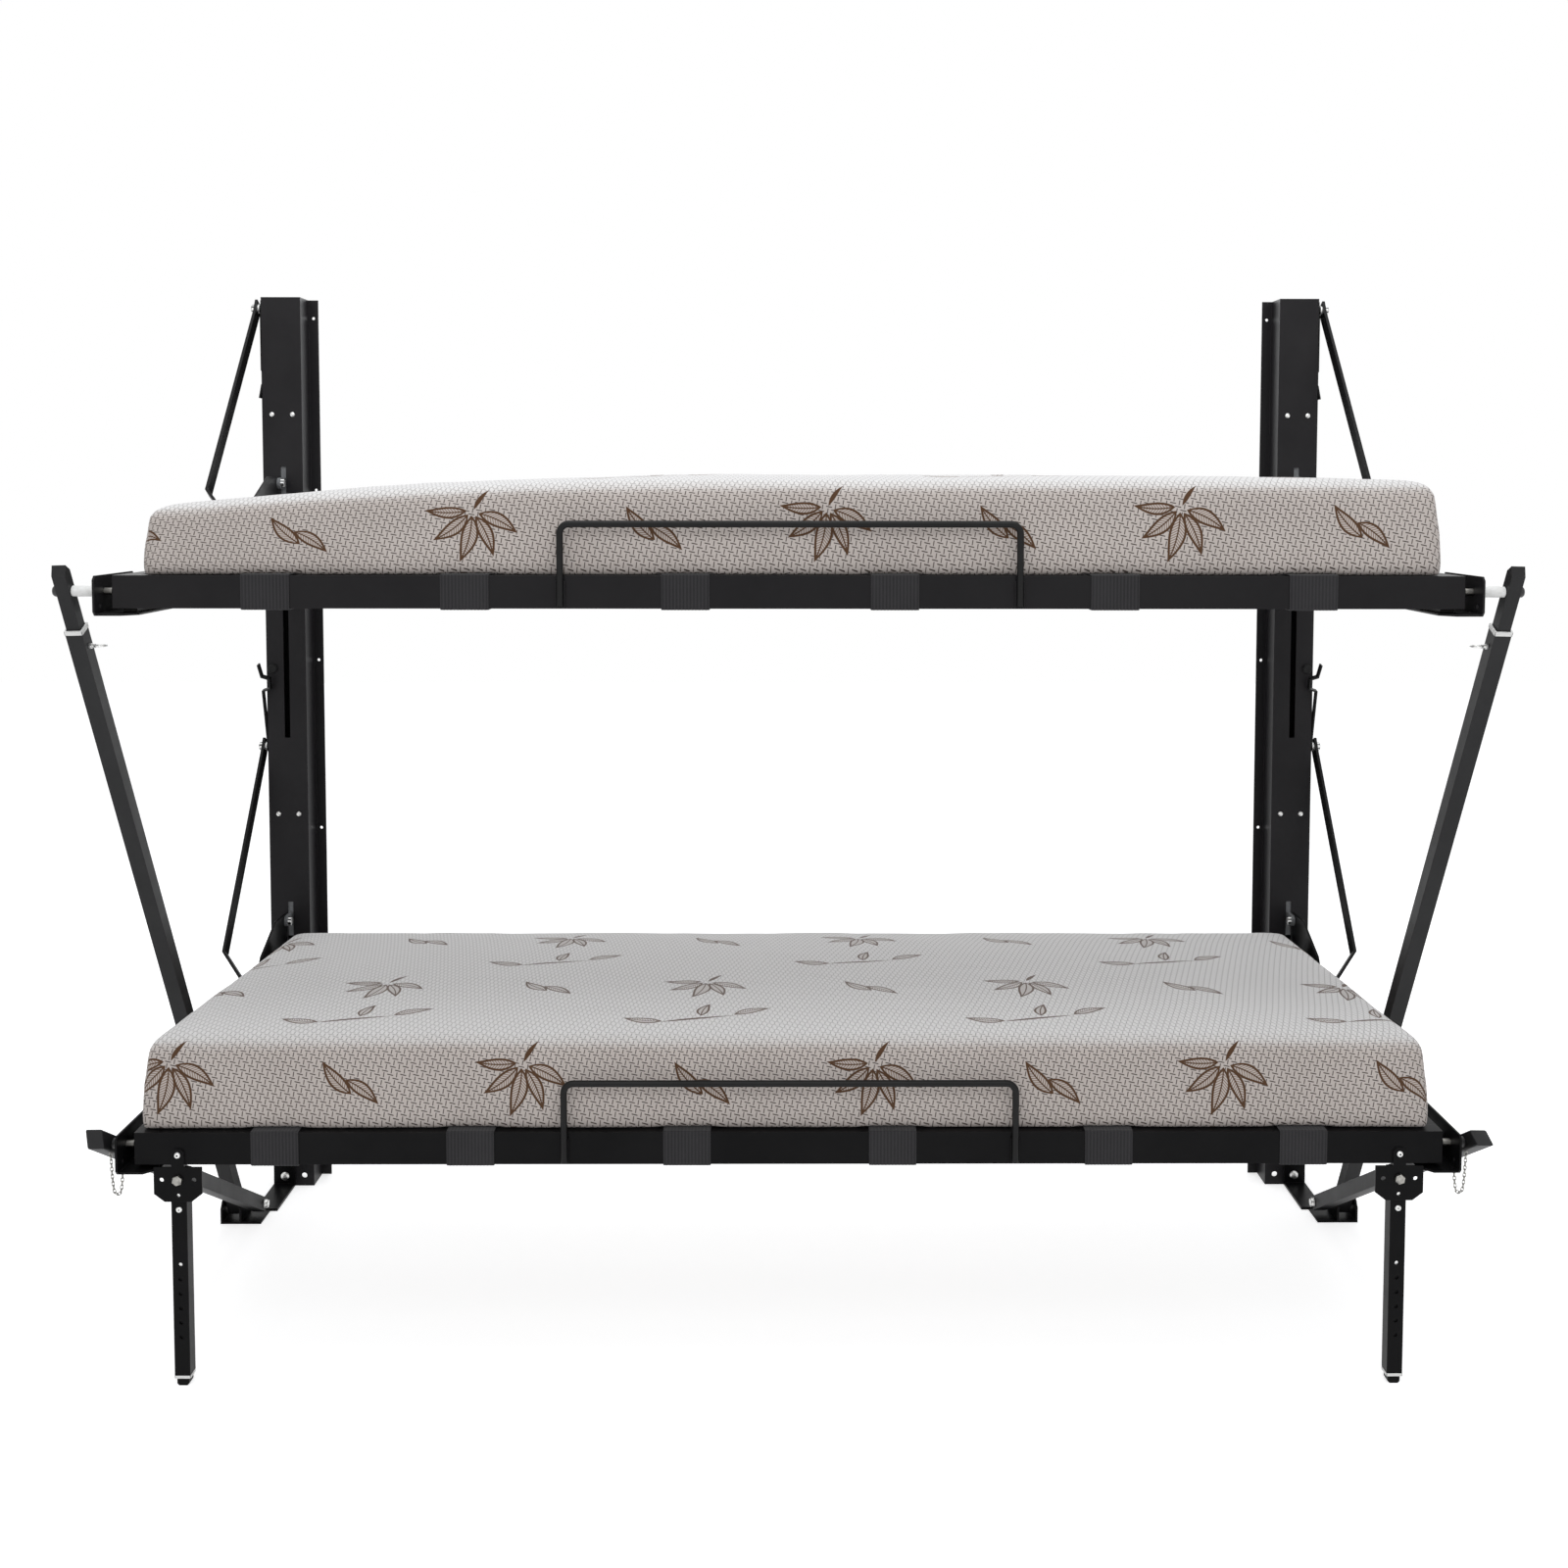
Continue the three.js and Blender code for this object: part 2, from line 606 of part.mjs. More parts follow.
// Channel on the rail's face that holds one foot of the guard rod, open to the front.
function guardSocket(bed, x) {
  const inner = GUARD_RADIUS + SEAT_GAP;
  const outer = inner + GUARD_SOCKET_WALL;
  const low = bed.top - GUARD_FOOT - GUARD_SOCKET_WALL;
  const high = bed.top - GUARD_SOCKET_TOP;
  const wall = (x0, x1) =>
    block(x0, x1, FRONT_FACE - RAIL_WALL / 2, FRONT_FACE + GUARD_SOCKET_DEPTH, low, high);
  return [wall(x - outer, x - inner), wall(x + inner, x + outer)];
}

function gusset(bed) {
  const rear = PIVOT_FROM_WALL - GUSSET_REAR;
  const top = bed.pivot + GUSSET_RISE;
  const root = bed.top - GUSSET_ROOT;
  const stand = REAR_FACE + RAIL_DEPTH;
  const outline = [
    [rear, top],
    [rear, top - PIVOT_ABOVE_RAIL / 3],
    [stand, bed.top + GUSSET_ROOT],
    [stand, root],
    [PIVOT_FROM_WALL + GUSSET_LENGTH, root],
    [PIVOT_FROM_WALL + GUSSET_LENGTH, bed.top],
    [PIVOT_FROM_WALL + GUSSET_SHOULDER_AT, bed.pivot - GUSSET_SHOULDER_DROP],
    [PIVOT_FROM_WALL + GUSSET_TOP_RUN, top],
  ];
  const inner = POST_CENTRE_X + TONGUE_THICKNESS / 2 + RUNNING_GAP;
  return sidePlate(outline.reverse(), inner, inner + GUSSET_THICKNESS);
}

function endRail(bed) {
  const { top, half, cornerInside, cornerOutside } = bed;
  const bottom = railBottom(bed);
  const rear = REAR_FACE + RAIL_DEPTH;
  const front = FRONT_FACE - RAIL_DEPTH;
  const tube = cut(
    block(half - RAIL_DEPTH, half, rear, front, bottom, top),
    block(
      half - RAIL_DEPTH + RAIL_WALL,
      half - RAIL_WALL,
      rear - 1,
      front + 1,
      bottom + RAIL_WALL,
      top - RAIL_WALL,
    ),
  );
  const plateFront = FRONT_FACE + CORNER_PLATE_AHEAD;
  const plateRear = plateFront - CORNER_PLATE_LENGTH;
  const plateBottom = top - CORNER_PLATE_DROP;
  const lipTop = plateBottom + CORNER_PLATE_THICKNESS;
  const web = sidePlate(
    [
      [plateRear, plateBottom],
      [plateFront - CORNER_EASE, plateBottom],
      [plateFront, plateBottom + CORNER_EASE],
      [plateFront, top - CORNER_EASE],
      [plateFront - CORNER_EASE, top],
      [plateRear + CORNER_CHAMFER, top],
      [plateRear, top - CORNER_CHAMFER],
    ],
    cornerInside,
    cornerOutside,
  );
  const lip = floorPlate(
    [
      [cornerOutside, plateRear],
      [cornerOutside, plateFront - CORNER_EASE],
      [half - CORNER_LIP_INSIDE + CORNER_CHAMFER, plateFront - CORNER_EASE],
      [half - CORNER_LIP_INSIDE, plateFront - CORNER_CHAMFER - CORNER_EASE],
      [half - CORNER_LIP_INSIDE, plateRear],
    ],
    plateBottom,
    lipTop,
  );
  const riser = block(
    half - RAIL_DEPTH / 2 - RISER_WIDTH / 2,
    half - RAIL_DEPTH / 2 + RISER_WIDTH / 2,
    plateRear,
    front,
    lipTop - 1,
    bottom + 1,
  );
  const spareHole = rodX(
    LOCK_HOLE_RADIUS,
    cornerInside - 1,
    cornerOutside + 1,
    FRONT_FACE - CORNER_HOLE_SETBACK,
    top - CORNER_HOLE_DROP,
    SMALL_STEPS,
  );
  return cut(join(tube, web, lip, riser, gusset(bed), ...endBolts(bed)), spareHole);
}

// Bolts fixed to an end rail: the rear pivot, the brace's foot and the corner stud
function endBolts(bed) {
  const pivot = [PIVOT_FROM_WALL, bed.pivot];
  const tongueFace = POST_CENTRE_X - TONGUE_THICKNESS / 2 - RUNNING_GAP;
  const gussetFace = POST_CENTRE_X + TONGUE_THICKNESS / 2 + RUNNING_GAP + GUSSET_THICKNESS;
  const foot = [PIVOT_FROM_WALL + BRACE_FOOT_FORWARD, bed.pivot - BRACE_FOOT_DROP];
  const footHead = bed.half + 2 * RUNNING_GAP + BRACE_THICKNESS;
  const corner = [PIN_FROM_WALL, bed.pinHeight];
  return [
    rodX(PIVOT_BOLT_RADIUS, tongueFace - 1, gussetFace, ...pivot),
    rodX(BOLT_HEAD_RADIUS, tongueFace - BOLT_HEAD_HEIGHT, tongueFace, ...pivot, 6),
    rodX(BOLT_HEAD_RADIUS, gussetFace - 1, gussetFace + BOLT_HEAD_HEIGHT, ...pivot, 6),
    rodX(PIVOT_BOLT_RADIUS, bed.half - 4 * RAIL_WALL, footHead + 1, ...foot),
    rodX(BOLT_HEAD_RADIUS, footHead, footHead + BOLT_HEAD_HEIGHT, ...foot, 6),
    rodX(CORNER_PIN_RADIUS, bed.cornerInside - STUB_LENGTH, bed.cornerInside + 1, ...corner),
  ];
}

// A strap is a flat belt over the frame, sewn into a loop round each rail.
function strap(bed, x) {
  const t = STRAP_THICKNESS;
  const g = SEAT_GAP;
  const low = railBottom(bed) - g - t;
  const top = bed.top + g + t;
  const rear = REAR_FACE - g - t;
  const front = FRONT_FACE + g + t;
  const loop = RAIL_DEPTH + 2 * g + 2 * t;
  const outline = [
    [rear, low],
    [rear + loop, low],
    [rear + loop, top - t],
    [front - loop, top - t],
    [front - loop, low],
    [front, low],
    [front, top],
    [rear, top],
  ];
  const hole = (u) => [
    [u + t, low + t],
    [u + t, top - t],
    [u + loop - t, top - t],
    [u + loop - t, low + t],
  ];
  const belt = sidePlate(outline, x - STRAP_WIDTH / 2, x + STRAP_WIDTH / 2, [
    hole(rear),
    hole(front - loop),
  ]);
  return belt;
}

function guardRod(bed) {
  const u = FRONT_FACE + SEAT_GAP + GUARD_RADIUS;
  const foot = bed.top - GUARD_FOOT;
  const top = bed.top + GUARD_RISE - GUARD_RADIUS;
  const at = (x, z) => new THREE.Vector3(x, -u, z);
  const w = GUARD_HALF_WIDTH;
  const b = GUARD_BEND;
  const left = new THREE.QuadraticBezierCurve3(at(-w, top - b), at(-w, top), at(-w + b, top));
  const right = new THREE.QuadraticBezierCurve3(at(w - b, top), at(w, top), at(w, top - b));
  const bendSteps = 4;
  const stations = [at(-w, foot), ...left.getPoints(bendSteps), ...right.getPoints(bendSteps)];
  stations.push(at(w, foot));
  return sweptRod(stations, GUARD_RADIUS, SMALL_STEPS);
}

// Round rod through stations, with a mitred ring of vertices at each one.
function sweptRod(stations, radius, sides) {
  const up = new THREE.Vector3(0, -1, 0);
  const positions = [];
  const index = [];
  stations.forEach((point, i) => {
    const before = i > 0 ? point.clone().sub(stations[i - 1]).normalize() : null;
    const after =
      i < stations.length - 1 ? stations[i + 1].clone().sub(point).normalize() : null;
    const along = (before ?? after).clone().add(after ?? before).normalize();
    const stretch = 1 / along.dot(before ?? after);
    const side = new THREE.Vector3().crossVectors(along, up).normalize();
    for (let k = 0; k < sides; k++) {
      const angle = (TAU * k) / sides;
      const offset = side
        .clone()
        .multiplyScalar(Math.cos(angle) * radius * stretch)
        .addScaledVector(up, Math.sin(angle) * radius);
      positions.push(...point.clone().add(offset).toArray());
    }
  });
  const rings = stations.length;
  for (let i = 0; i < rings - 1; i++) {
    for (let k = 0; k < sides; k++) {
      const a = i * sides + k;
      const b = i * sides + ((k + 1) % sides);
      const c = a + sides;
      const d = b + sides;
      index.push(a, c, b, b, c, d);
    }
  }
  const last = (rings - 1) * sides;
  for (let k = 1; k < sides - 1; k++) {
    index.push(0, k, k + 1);
    index.push(last, last + k + 1, last + k);
  }
  const shape = new THREE.BufferGeometry();
  shape.setAttribute("position", new THREE.Float32BufferAttribute(positions, 3));
  shape.setIndex(index);
  return shape;
}

// Mattress: rings of a rounded rectangle, drawn in along its sides, under a crowned top.
// Each ring is [inset, height, bow], and the crown lifts every point above the edge's height.
function mattress(bed) {
  const base = bed.top + SEAT_GAP + STRAP_THICKNESS + SEAT_GAP;
  const middle = REAR_FACE + (FRONT_FACE - REAR_FACE) / 2;
  const cornerSteps = 4;
  const longSteps = 6;
  const shortSteps = 4;
  const halfX = RAIL_END - MATTRESS_END_GAP;
  const halfU = (FRONT_FACE - REAR_FACE) / 2 - MATTRESS_SIDE_GAP;
  const lift = (x, u) =>
    MATTRESS_CROWN *
    (1 - Math.abs(x / halfX) ** MATTRESS_CROWN_POWER) *
    (1 - Math.abs(u / halfU) ** MATTRESS_CROWN_POWER);
  const ring = ([inset, height, bow]) => {
    const r = Math.max(MATTRESS_CORNER - inset, 6);
    const ex = halfX - inset - r;
    const eu = halfU - inset - r;
    const points = [];
    const draw = (t) => bow * Math.sin(Math.PI * t);
    for (let i = 1; i < longSteps; i++) {
      const t = i / longSteps;
      points.push([-ex + 2 * ex * t, eu + r - draw(t)]);
    }
    const arc = (cx, cu, start) => {
      for (let i = 0; i <= cornerSteps; i++) {
        const angle = start - ((Math.PI / 2) * i) / cornerSteps;
        points.push([cx + r * Math.cos(angle), cu + r * Math.sin(angle)]);
      }
    };
    arc(ex, eu, Math.PI / 2);
    for (let i = 1; i < shortSteps; i++) {
      const t = i / shortSteps;
      points.push([ex + r - draw(t) / 2, eu - 2 * eu * t]);
    }
    arc(ex, -eu, 0);
    for (let i = 1; i < longSteps; i++) {
      const t = i / longSteps;
      points.push([ex - 2 * ex * t, -eu - r + draw(t)]);
    }
    arc(-ex, -eu, -Math.PI / 2);
    for (let i = 1; i < shortSteps; i++) {
      const t = i / shortSteps;
      points.push([-ex - r + draw(t) / 2, -eu + 2 * eu * t]);
    }
    arc(-ex, eu, Math.PI);
    const raised = height >= MATTRESS_EDGE - MATTRESS_DRAW_IN;
    return points.map(([x, u]) => [x, -(middle + u), base + height + (raised ? lift(x, u) : 0)]);
  };
  const edge = MATTRESS_EDGE;
  const bow = MATTRESS_DRAW_IN;
  const rings = [
    [60, 0, 0],
    [14, 0, 0],
    [4, 6, bow / 2],
    [0, 22, bow],
    [1, edge / 2, bow],
    [3, edge - 16, bow],
    [9, edge - 4, bow],
    [22, edge, bow / 2],
    [60, edge, 0],
    [140, edge, 0],
    [240, edge, 0],
  ].map(ring);
  const count = rings[0].length;
  const positions = rings.flat(2);
  const index = [];
  for (let i = 0; i < rings.length - 1; i++) {
    for (let k = 0; k < count; k++) {
      const a = i * count + k;
      const b = i * count + ((k + 1) % count);
      index.push(a, b, a + count, b, b + count, a + count);
    }
  }
  const lowCentre = positions.length / 3;
  positions.push(0, -middle, base);
  const highCentre = lowCentre + 1;
  positions.push(0, -middle, base + edge + MATTRESS_CROWN);
  const last = (rings.length - 1) * count;
  for (let k = 0; k < count; k++) {
    const next = (k + 1) % count;
    index.push(lowCentre, next, k);
    index.push(highCentre, last + k, last + next);
  }
  const shape = new THREE.BufferGeometry();
  shape.setAttribute("position", new THREE.Float32BufferAttribute(positions, 3));
  shape.setIndex(index);
  return shape;
}

// Plate on the lower front rail that carries a leg, with the leg's pivot bolt
function legPlate(sign) {
  const centre = sign * LEG_X;
  const pivot = LOWER.top - LEG_PIVOT_DROP;
  const face = FRONT_FACE + LEG_PLATE_THICKNESS;
  const w = LEG_PLATE_WIDTH / 2;
  const tab = LEG_TAB_WIDTH / 2;
  const top = LOWER.top - LEG_PLATE_TOP;
  const bottom = LOWER.top - LEG_PLATE_BOTTOM;
  const tabTop = LOWER.top - LEG_TAB_TOP;
  const tabBolt = LOWER.top - LEG_TAB_BOLT_DROP;
  const outline = [
    [-w, top],
    [-w, bottom + LEG_PLATE_CHAMFER],
    [-w + LEG_PLATE_CHAMFER * 1.3, bottom],
    [w - LEG_PLATE_CHAMFER * 1.3, bottom],
    [w, bottom + LEG_PLATE_CHAMFER],
    [w, top],
    [tab, top],
    [tab, tabTop - tab / 2],
    [tab / 2, tabTop],
    [-tab / 2, tabTop],
    [-tab, tabTop - tab / 2],
    [-tab, top],
  ].map(([x, z]) => [x + centre, z]);
  const bore = (x, z) =>
    rodY(LOCK_HOLE_RADIUS, FRONT_FACE - 1, face + 1, centre + x, z, SMALL_STEPS);
  const plate = cut(
    frontPlate(outline, FRONT_FACE, face),
    bore(LOCK_HOLE_RING, pivot),
    bore(-LOCK_HOLE_RING, pivot),
    bore(0, pivot - LOCK_HOLE_RING),
  );
  return [
    plate,
    rodY(LEG_BOLT_RADIUS, FRONT_FACE - LEG_TUBE - 4, face, centre, pivot),
    rodY(LEG_BOLT_HEAD_RADIUS, face - 1, face + LEG_BOLT_RADIUS, centre, pivot, 6),
    rodY(LEG_BOLT_RADIUS, FRONT_FACE - RAIL_WALL, face, centre, tabBolt),
    dome(
      RIVET_RADIUS,
      RIVET_DOME + 1,
      [centre, 1 - face, tabBolt],
      [0, -1, 0],
    ),
  ];
}

for (const bed of BEDS) {
  const front = join(
    rail(bed, FRONT_FACE - RAIL_DEPTH, FRONT_FACE),
    ...guardSocket(bed, -GUARD_HALF_WIDTH),
    ...guardSocket(bed, GUARD_HALF_WIDTH),
    ...(bed === LOWER ? [...legPlate(-1), ...legPlate(1)] : []),
  );
  frame.add(mesh(bed.name + "_front_rail", front, railPaint));
  const rear = rail(bed, REAR_FACE, REAR_FACE + RAIL_DEPTH);
  frame.add(mesh(bed.name + "_rear_rail", rear, railPaint));
  STRAP_PLACES.forEach((place, i) => {
    const x = place * RAIL_END;
    frame.add(mesh(bed.name + "_strap_" + (i + 1), strap(bed, x), webbing));
  });
  frame.add(mesh(bed.name + "_guard_rod", guardRod(bed), barPaint));
  frame.add(mesh(bed.name + "_mattress", mattress(bed), ticking));
  addBedPair(bed, "end_rail", endRail(bed), railPaint);
}

// Braces: flat bars that flare outwards past the end rail and come back in to it
for (const bed of BEDS) {
  const footX = bed.half + RUNNING_GAP + BRACE_THICKNESS / 2;
  const L = BRACE_LENGTH;
  const path = [
    [-BRACE_WIDTH / 2, BRACE_X],
    [BRACE_WIDTH / 2, BRACE_X],
    [BRACE_FLARE_AT * L, bed.flareX],
    [BRACE_RETURN_AT * L, footX],
    [L + BRACE_WIDTH / 2, footX],
  ];
  const bar = bentBar(path, BRACE_THICKNESS, BRACE_WIDTH);
  const along = new THREE.Vector3(
    0,
    -(BRACE_FOOT_FORWARD + PIVOT_SETBACK),
    -(BRACE_PIVOT_RISE + BRACE_FOOT_DROP),
  ).normalize();
  const out = new THREE.Vector3(1, 0, 0);
  const across = new THREE.Vector3().crossVectors(along, out);
  bar.applyMatrix4(new THREE.Matrix4().makeBasis(along, out, across));
  bar.translate(0, -BRACE_PIVOT_FROM_WALL, bed.bracePivot);
  const drilled = cut(
    bar,
    rodX(
      HOLE_FOR_PIVOT,
      BRACE_X - BRACE_THICKNESS,
      BRACE_X + BRACE_THICKNESS,
      BRACE_PIVOT_FROM_WALL,
      bed.bracePivot,
    ),
    rodX(
      HOLE_FOR_PIVOT,
      footX - BRACE_THICKNESS,
      footX + BRACE_THICKNESS,
      PIVOT_FROM_WALL + BRACE_FOOT_FORWARD,
      bed.pivot - BRACE_FOOT_DROP,
    ),
  );
  addBedPair(bed, "brace", drilled, barPaint);
}

// Stow hooks on the brace pivots: the upper ones hang, the lower ones lean on the post
for (const bed of BEDS) {
  const hanging = bed === UPPER;
  const depth = hanging ? UPPER_HOOK_DEPTH : LOWER_HOOK_DEPTH;
  const bend = HOOK_THICKNESS * 1.5;
  const notch = HOOK_REACH + HOOK_NOTCH;
  const path = [
    [-HOOK_WIDTH * 0.7, 0],
    [HOOK_REACH - bend, 0],
    [HOOK_REACH, -depth],
    [notch - bend, -depth],
    [notch, 0],
    [notch + HOOK_TAIL, bend],
  ];
  const bar = bentBar(path, HOOK_THICKNESS, HOOK_WIDTH);
  const along = hanging
    ? new THREE.Vector3(0, 0, -1)
    : new THREE.Vector3(0, -Math.sin(LOWER_HOOK_LEAN), Math.cos(LOWER_HOOK_LEAN));
  const out = new THREE.Vector3(1, 0, 0);
  const across = new THREE.Vector3().crossVectors(along, out);
  bar.applyMatrix4(new THREE.Matrix4().makeBasis(along, out, across));
  bar.translate(HOOK_X, -BRACE_PIVOT_FROM_WALL, bed.bracePivot);
  const eye = rodX(
    HOOK_WIDTH * 0.75,
    HOOK_X - HOOK_THICKNESS / 2,
    HOOK_X + HOOK_THICKNESS / 2,
    BRACE_PIVOT_FROM_WALL,
    bed.bracePivot,
  );
  const hole = rodX(
    HOLE_FOR_PIVOT,
    HOOK_X - HOOK_THICKNESS,
    HOOK_X + HOOK_THICKNESS,
    BRACE_PIVOT_FROM_WALL,
    bed.bracePivot,
  );
  const hook = cut(join(bar, eye), hole);
  addBedPair(bed, "hook", hook, barPaint);
}

// Strut frames: local z runs up the strut from its foot pin, local x points outwards
function strutAxes(footX, cornerX, cornerHeight) {
  const foot = new THREE.Vector3(footX, -STRUT_FOOT_FROM_WALL, STRUT_FOOT_HEIGHT);
  const corner = new THREE.Vector3(cornerX, -PIN_FROM_WALL, cornerHeight);
  const along = corner.clone().sub(foot);
  const length = along.length();
  along.normalize();
  const across = new THREE.Vector3().crossVectors(along, new THREE.Vector3(1, 0, 0)).normalize();
  const out = new THREE.Vector3().crossVectors(across, along);
  const matrix = new THREE.Matrix4().makeBasis(out, across, along).setPosition(foot);
  return { length, matrix };
}

const footHole = (x) =>
  rodX(HOLE_FOR_PIVOT, x - STRUT_TUBE, x + STRUT_TUBE, STRUT_FOOT_FROM_WALL, STRUT_FOOT_HEIGHT);

// Upper struts: outer tube, plastic collar, inner tube and the pin to the bed's corner
{
  const { length, matrix } = strutAxes(UPPER_STRUT_FOOT_X, UPPER_CORNER_X, UPPER.pinHeight);
  const tubeTop = length - COLLAR_BELOW_PIN;
  const pullAt = tubeTop - PULL_PIN_BELOW_COLLAR;
  const face = STRUT_TUBE / 2;
  const pullHole = rod(
    PULL_PIN_RADIUS + SEAT_GAP,
    [-face - 1, 0, pullAt],
    [-face + STRUT_WALL + TELESCOPE_GAP / 2, 0, pullAt],
    SMALL_STEPS,
  );
  const collarSize = STRUT_TUBE + 2 * COLLAR_PROUD;
  const collarWall = (collarSize - INNER_TUBE) / 2 - RUNNING_GAP;
  const tube = join(
    cut(squareTube(STRUT_TUBE, STRUT_WALL, -STRUT_FOOT_END, tubeTop), pullHole),
    squareTube(collarSize, collarWall, tubeTop - 1, tubeTop + COLLAR_HEIGHT),
  );
  addPair(
    "upper_strut_tube",
    cut(tube.applyMatrix4(matrix), footHole(UPPER_STRUT_FOOT_X)),
    tubePaint,
  );

  const innerTop = length + INNER_ABOVE_PIN;
  const innerBottom = innerTop - INNER_LENGTH;
  const roof = INNER_TUBE * 0.75;
  const slope = (sign) =>
    new THREE.BoxGeometry(INNER_TUBE * 2, INNER_TUBE * 2, INNER_TUBE * 2)
      .translate(0, 0, INNER_TUBE)
      .rotateX(sign * 0.9)
      .translate(0, 0, innerTop - 1);
  const solidTip = new THREE.BoxGeometry(INNER_TUBE, INNER_TUBE, roof).translate(
    0,
    0,
    innerTop - roof / 2,
  );
  const cornerBore = (radius) =>
    rodX(
      radius,
      UPPER_CORNER_X - STRUT_TUBE,
      UPPER_CORNER_X + STRUT_TUBE,
      PIN_FROM_WALL,
      UPPER.pinHeight,
    );
  const shaped = cut(
    join(squareTube(INNER_TUBE, INNER_WALL, innerBottom, innerTop), solidTip),
    slope(1),
    slope(-1),
  );
  const inner = cut(shaped.applyMatrix4(matrix), cornerBore(CORNER_PIN_RADIUS + SEAT_GAP));
  addPair("upper_strut_inner", inner, tubePaint);

  const lean = (UPPER_CORNER_X - UPPER_STRUT_FOOT_X) / length;
  const halfTube = INNER_TUBE / 2 + lean * NUT_RADIUS + SEAT_GAP;
  const u = PIN_FROM_WALL;
  const z = UPPER.pinHeight;
  const nutInner = UPPER.cornerOutside + SEAT_GAP;
  const nutOuter = nutInner + NUT_THICKNESS;
  const tubeInner = UPPER_CORNER_X - halfTube;
  const tubeOuter = UPPER_CORNER_X + halfTube;
  const domeBase = tubeOuter + DOME_HEAD_HEIGHT / 2;
  const bolt = join(
    rodX(CORNER_PIN_RADIUS, nutInner + 1, tubeOuter + 1, u, z),
    rodX(NUT_RADIUS, nutInner, nutOuter, u, z, SMALL_STEPS),
    rodX(SPACER_RADIUS, nutOuter - 1, tubeInner, u, z),
    rodX(DOME_HEAD_RADIUS, tubeOuter, domeBase, u, z),
    dome(DOME_HEAD_RADIUS, DOME_HEAD_HEIGHT / 2 + 1, [domeBase - 1, -u, z], [1, 0, 0]),
  );
  addPair("upper_corner_bolt", bolt, blackOxide);

  const tip = -face + STRUT_WALL;
  const outside = -face - PULL_PIN_LENGTH;
  const ferrule = -face - PULL_FERRULE_LENGTH;
  const ring = new THREE.TorusGeometry(PULL_RING_RADIUS, PULL_RING_WIRE, 6, 16)
    .rotateX(Math.PI / 2)
    .translate(outside - PULL_RING_RADIUS + PULL_RING_WIRE, 0, pullAt);
  const pull = join(
    rod(PULL_PIN_RADIUS, [outside, 0, pullAt], [tip, 0, pullAt], SMALL_STEPS),
    rod(PULL_FERRULE_RADIUS, [ferrule, 0, pullAt], [-face - SEAT_GAP, 0, pullAt], SMALL_STEPS),
    ring,
  );
  addPair("upper_strut_pull_pin", pull.applyMatrix4(matrix), zinc);
}

// Lower struts: one tube each, pinned to the lower bed's corner
{
  const { length, matrix } = strutAxes(LOWER_STRUT_FOOT_X, LOWER_CORNER_X, LOWER.pinHeight);
  const end = length + LOWER_STRUT_BEYOND_PIN;
  const u = PIN_FROM_WALL;
  const z = LOWER.pinHeight;
  const capped = join(
    squareTube(STRUT_TUBE, STRUT_WALL, -STRUT_FOOT_END, end),
    new THREE.BoxGeometry(STRUT_TUBE, STRUT_TUBE, LOWER_STRUT_END_CUT + 4).translate(
      0,
      0,
      end - LOWER_STRUT_END_CUT / 2 - 2,
    ),
  );
  const bevel = new THREE.BoxGeometry(STRUT_TUBE * 2, STRUT_TUBE * 3, STRUT_TUBE * 2)
    .translate(0, 0, STRUT_TUBE)
    .rotateX(-Math.atan2(LOWER_STRUT_END_CUT, STRUT_TUBE))
    .translate(0, 0, end - LOWER_STRUT_END_CUT / 2);
  const pinBore = rodX(
    CORNER_PIN_RADIUS + SEAT_GAP,
    LOWER_CORNER_X - STRUT_TUBE,
    LOWER_CORNER_X + STRUT_TUBE,
    u,
    z,
  );
  const lean = (LOWER_CORNER_X - LOWER_STRUT_FOOT_X) / length;
  const halfTube = STRUT_TUBE / 2 + lean * NUT_RADIUS;
  const collar = LOWER_CORNER_X - halfTube;
  const tube = cut(
    join(
      cut(capped, bevel).applyMatrix4(matrix),
      rodX(SPACER_RADIUS, collar - NUT_THICKNESS, collar + STRUT_WALL, u, z, SMALL_STEPS),
      sweptRod(chainRoute(collar - CHAIN_DIAMETER / 2, u, z - SPACER_RADIUS), CHAIN_DIAMETER / 2, 6),
    ),
    footHole(LOWER_STRUT_FOOT_X),
    pinBore,
  );
  addPair("lower_strut_tube", tube, tubePaint);

  const head = LOWER_CORNER_X + halfTube + SEAT_GAP;
  const pin = join(
    rodX(CORNER_PIN_RADIUS, LOWER.cornerOutside + SEAT_GAP, head + 1, u, z),
    rodX(BOLT_HEAD_RADIUS, head, head + DOME_HEAD_HEIGHT / 2, u, z),
    dome(
      BOLT_HEAD_RADIUS,
      DOME_HEAD_HEIGHT / 2,
      [head + DOME_HEAD_HEIGHT / 2 - 1, -u, z],
      [1, 0, 0],
    ),
  );
  addPair("lower_corner_pin", pin, blackOxide);
}

// The pin's retaining chain hangs in a loop from the strut's collar
function chainRoute(x, u, z) {
  const stations = [];
  for (let i = 0; i <= CHAIN_STEPS; i++) {
    const t = (2 * i) / CHAIN_STEPS - 1;
    const across = (CHAIN_SPAN * (t + 1)) / 2;
    stations.push(new THREE.Vector3(x - across, -u, z - CHAIN_SAG * (1 - t ** 4)));
  }
  return stations;
}

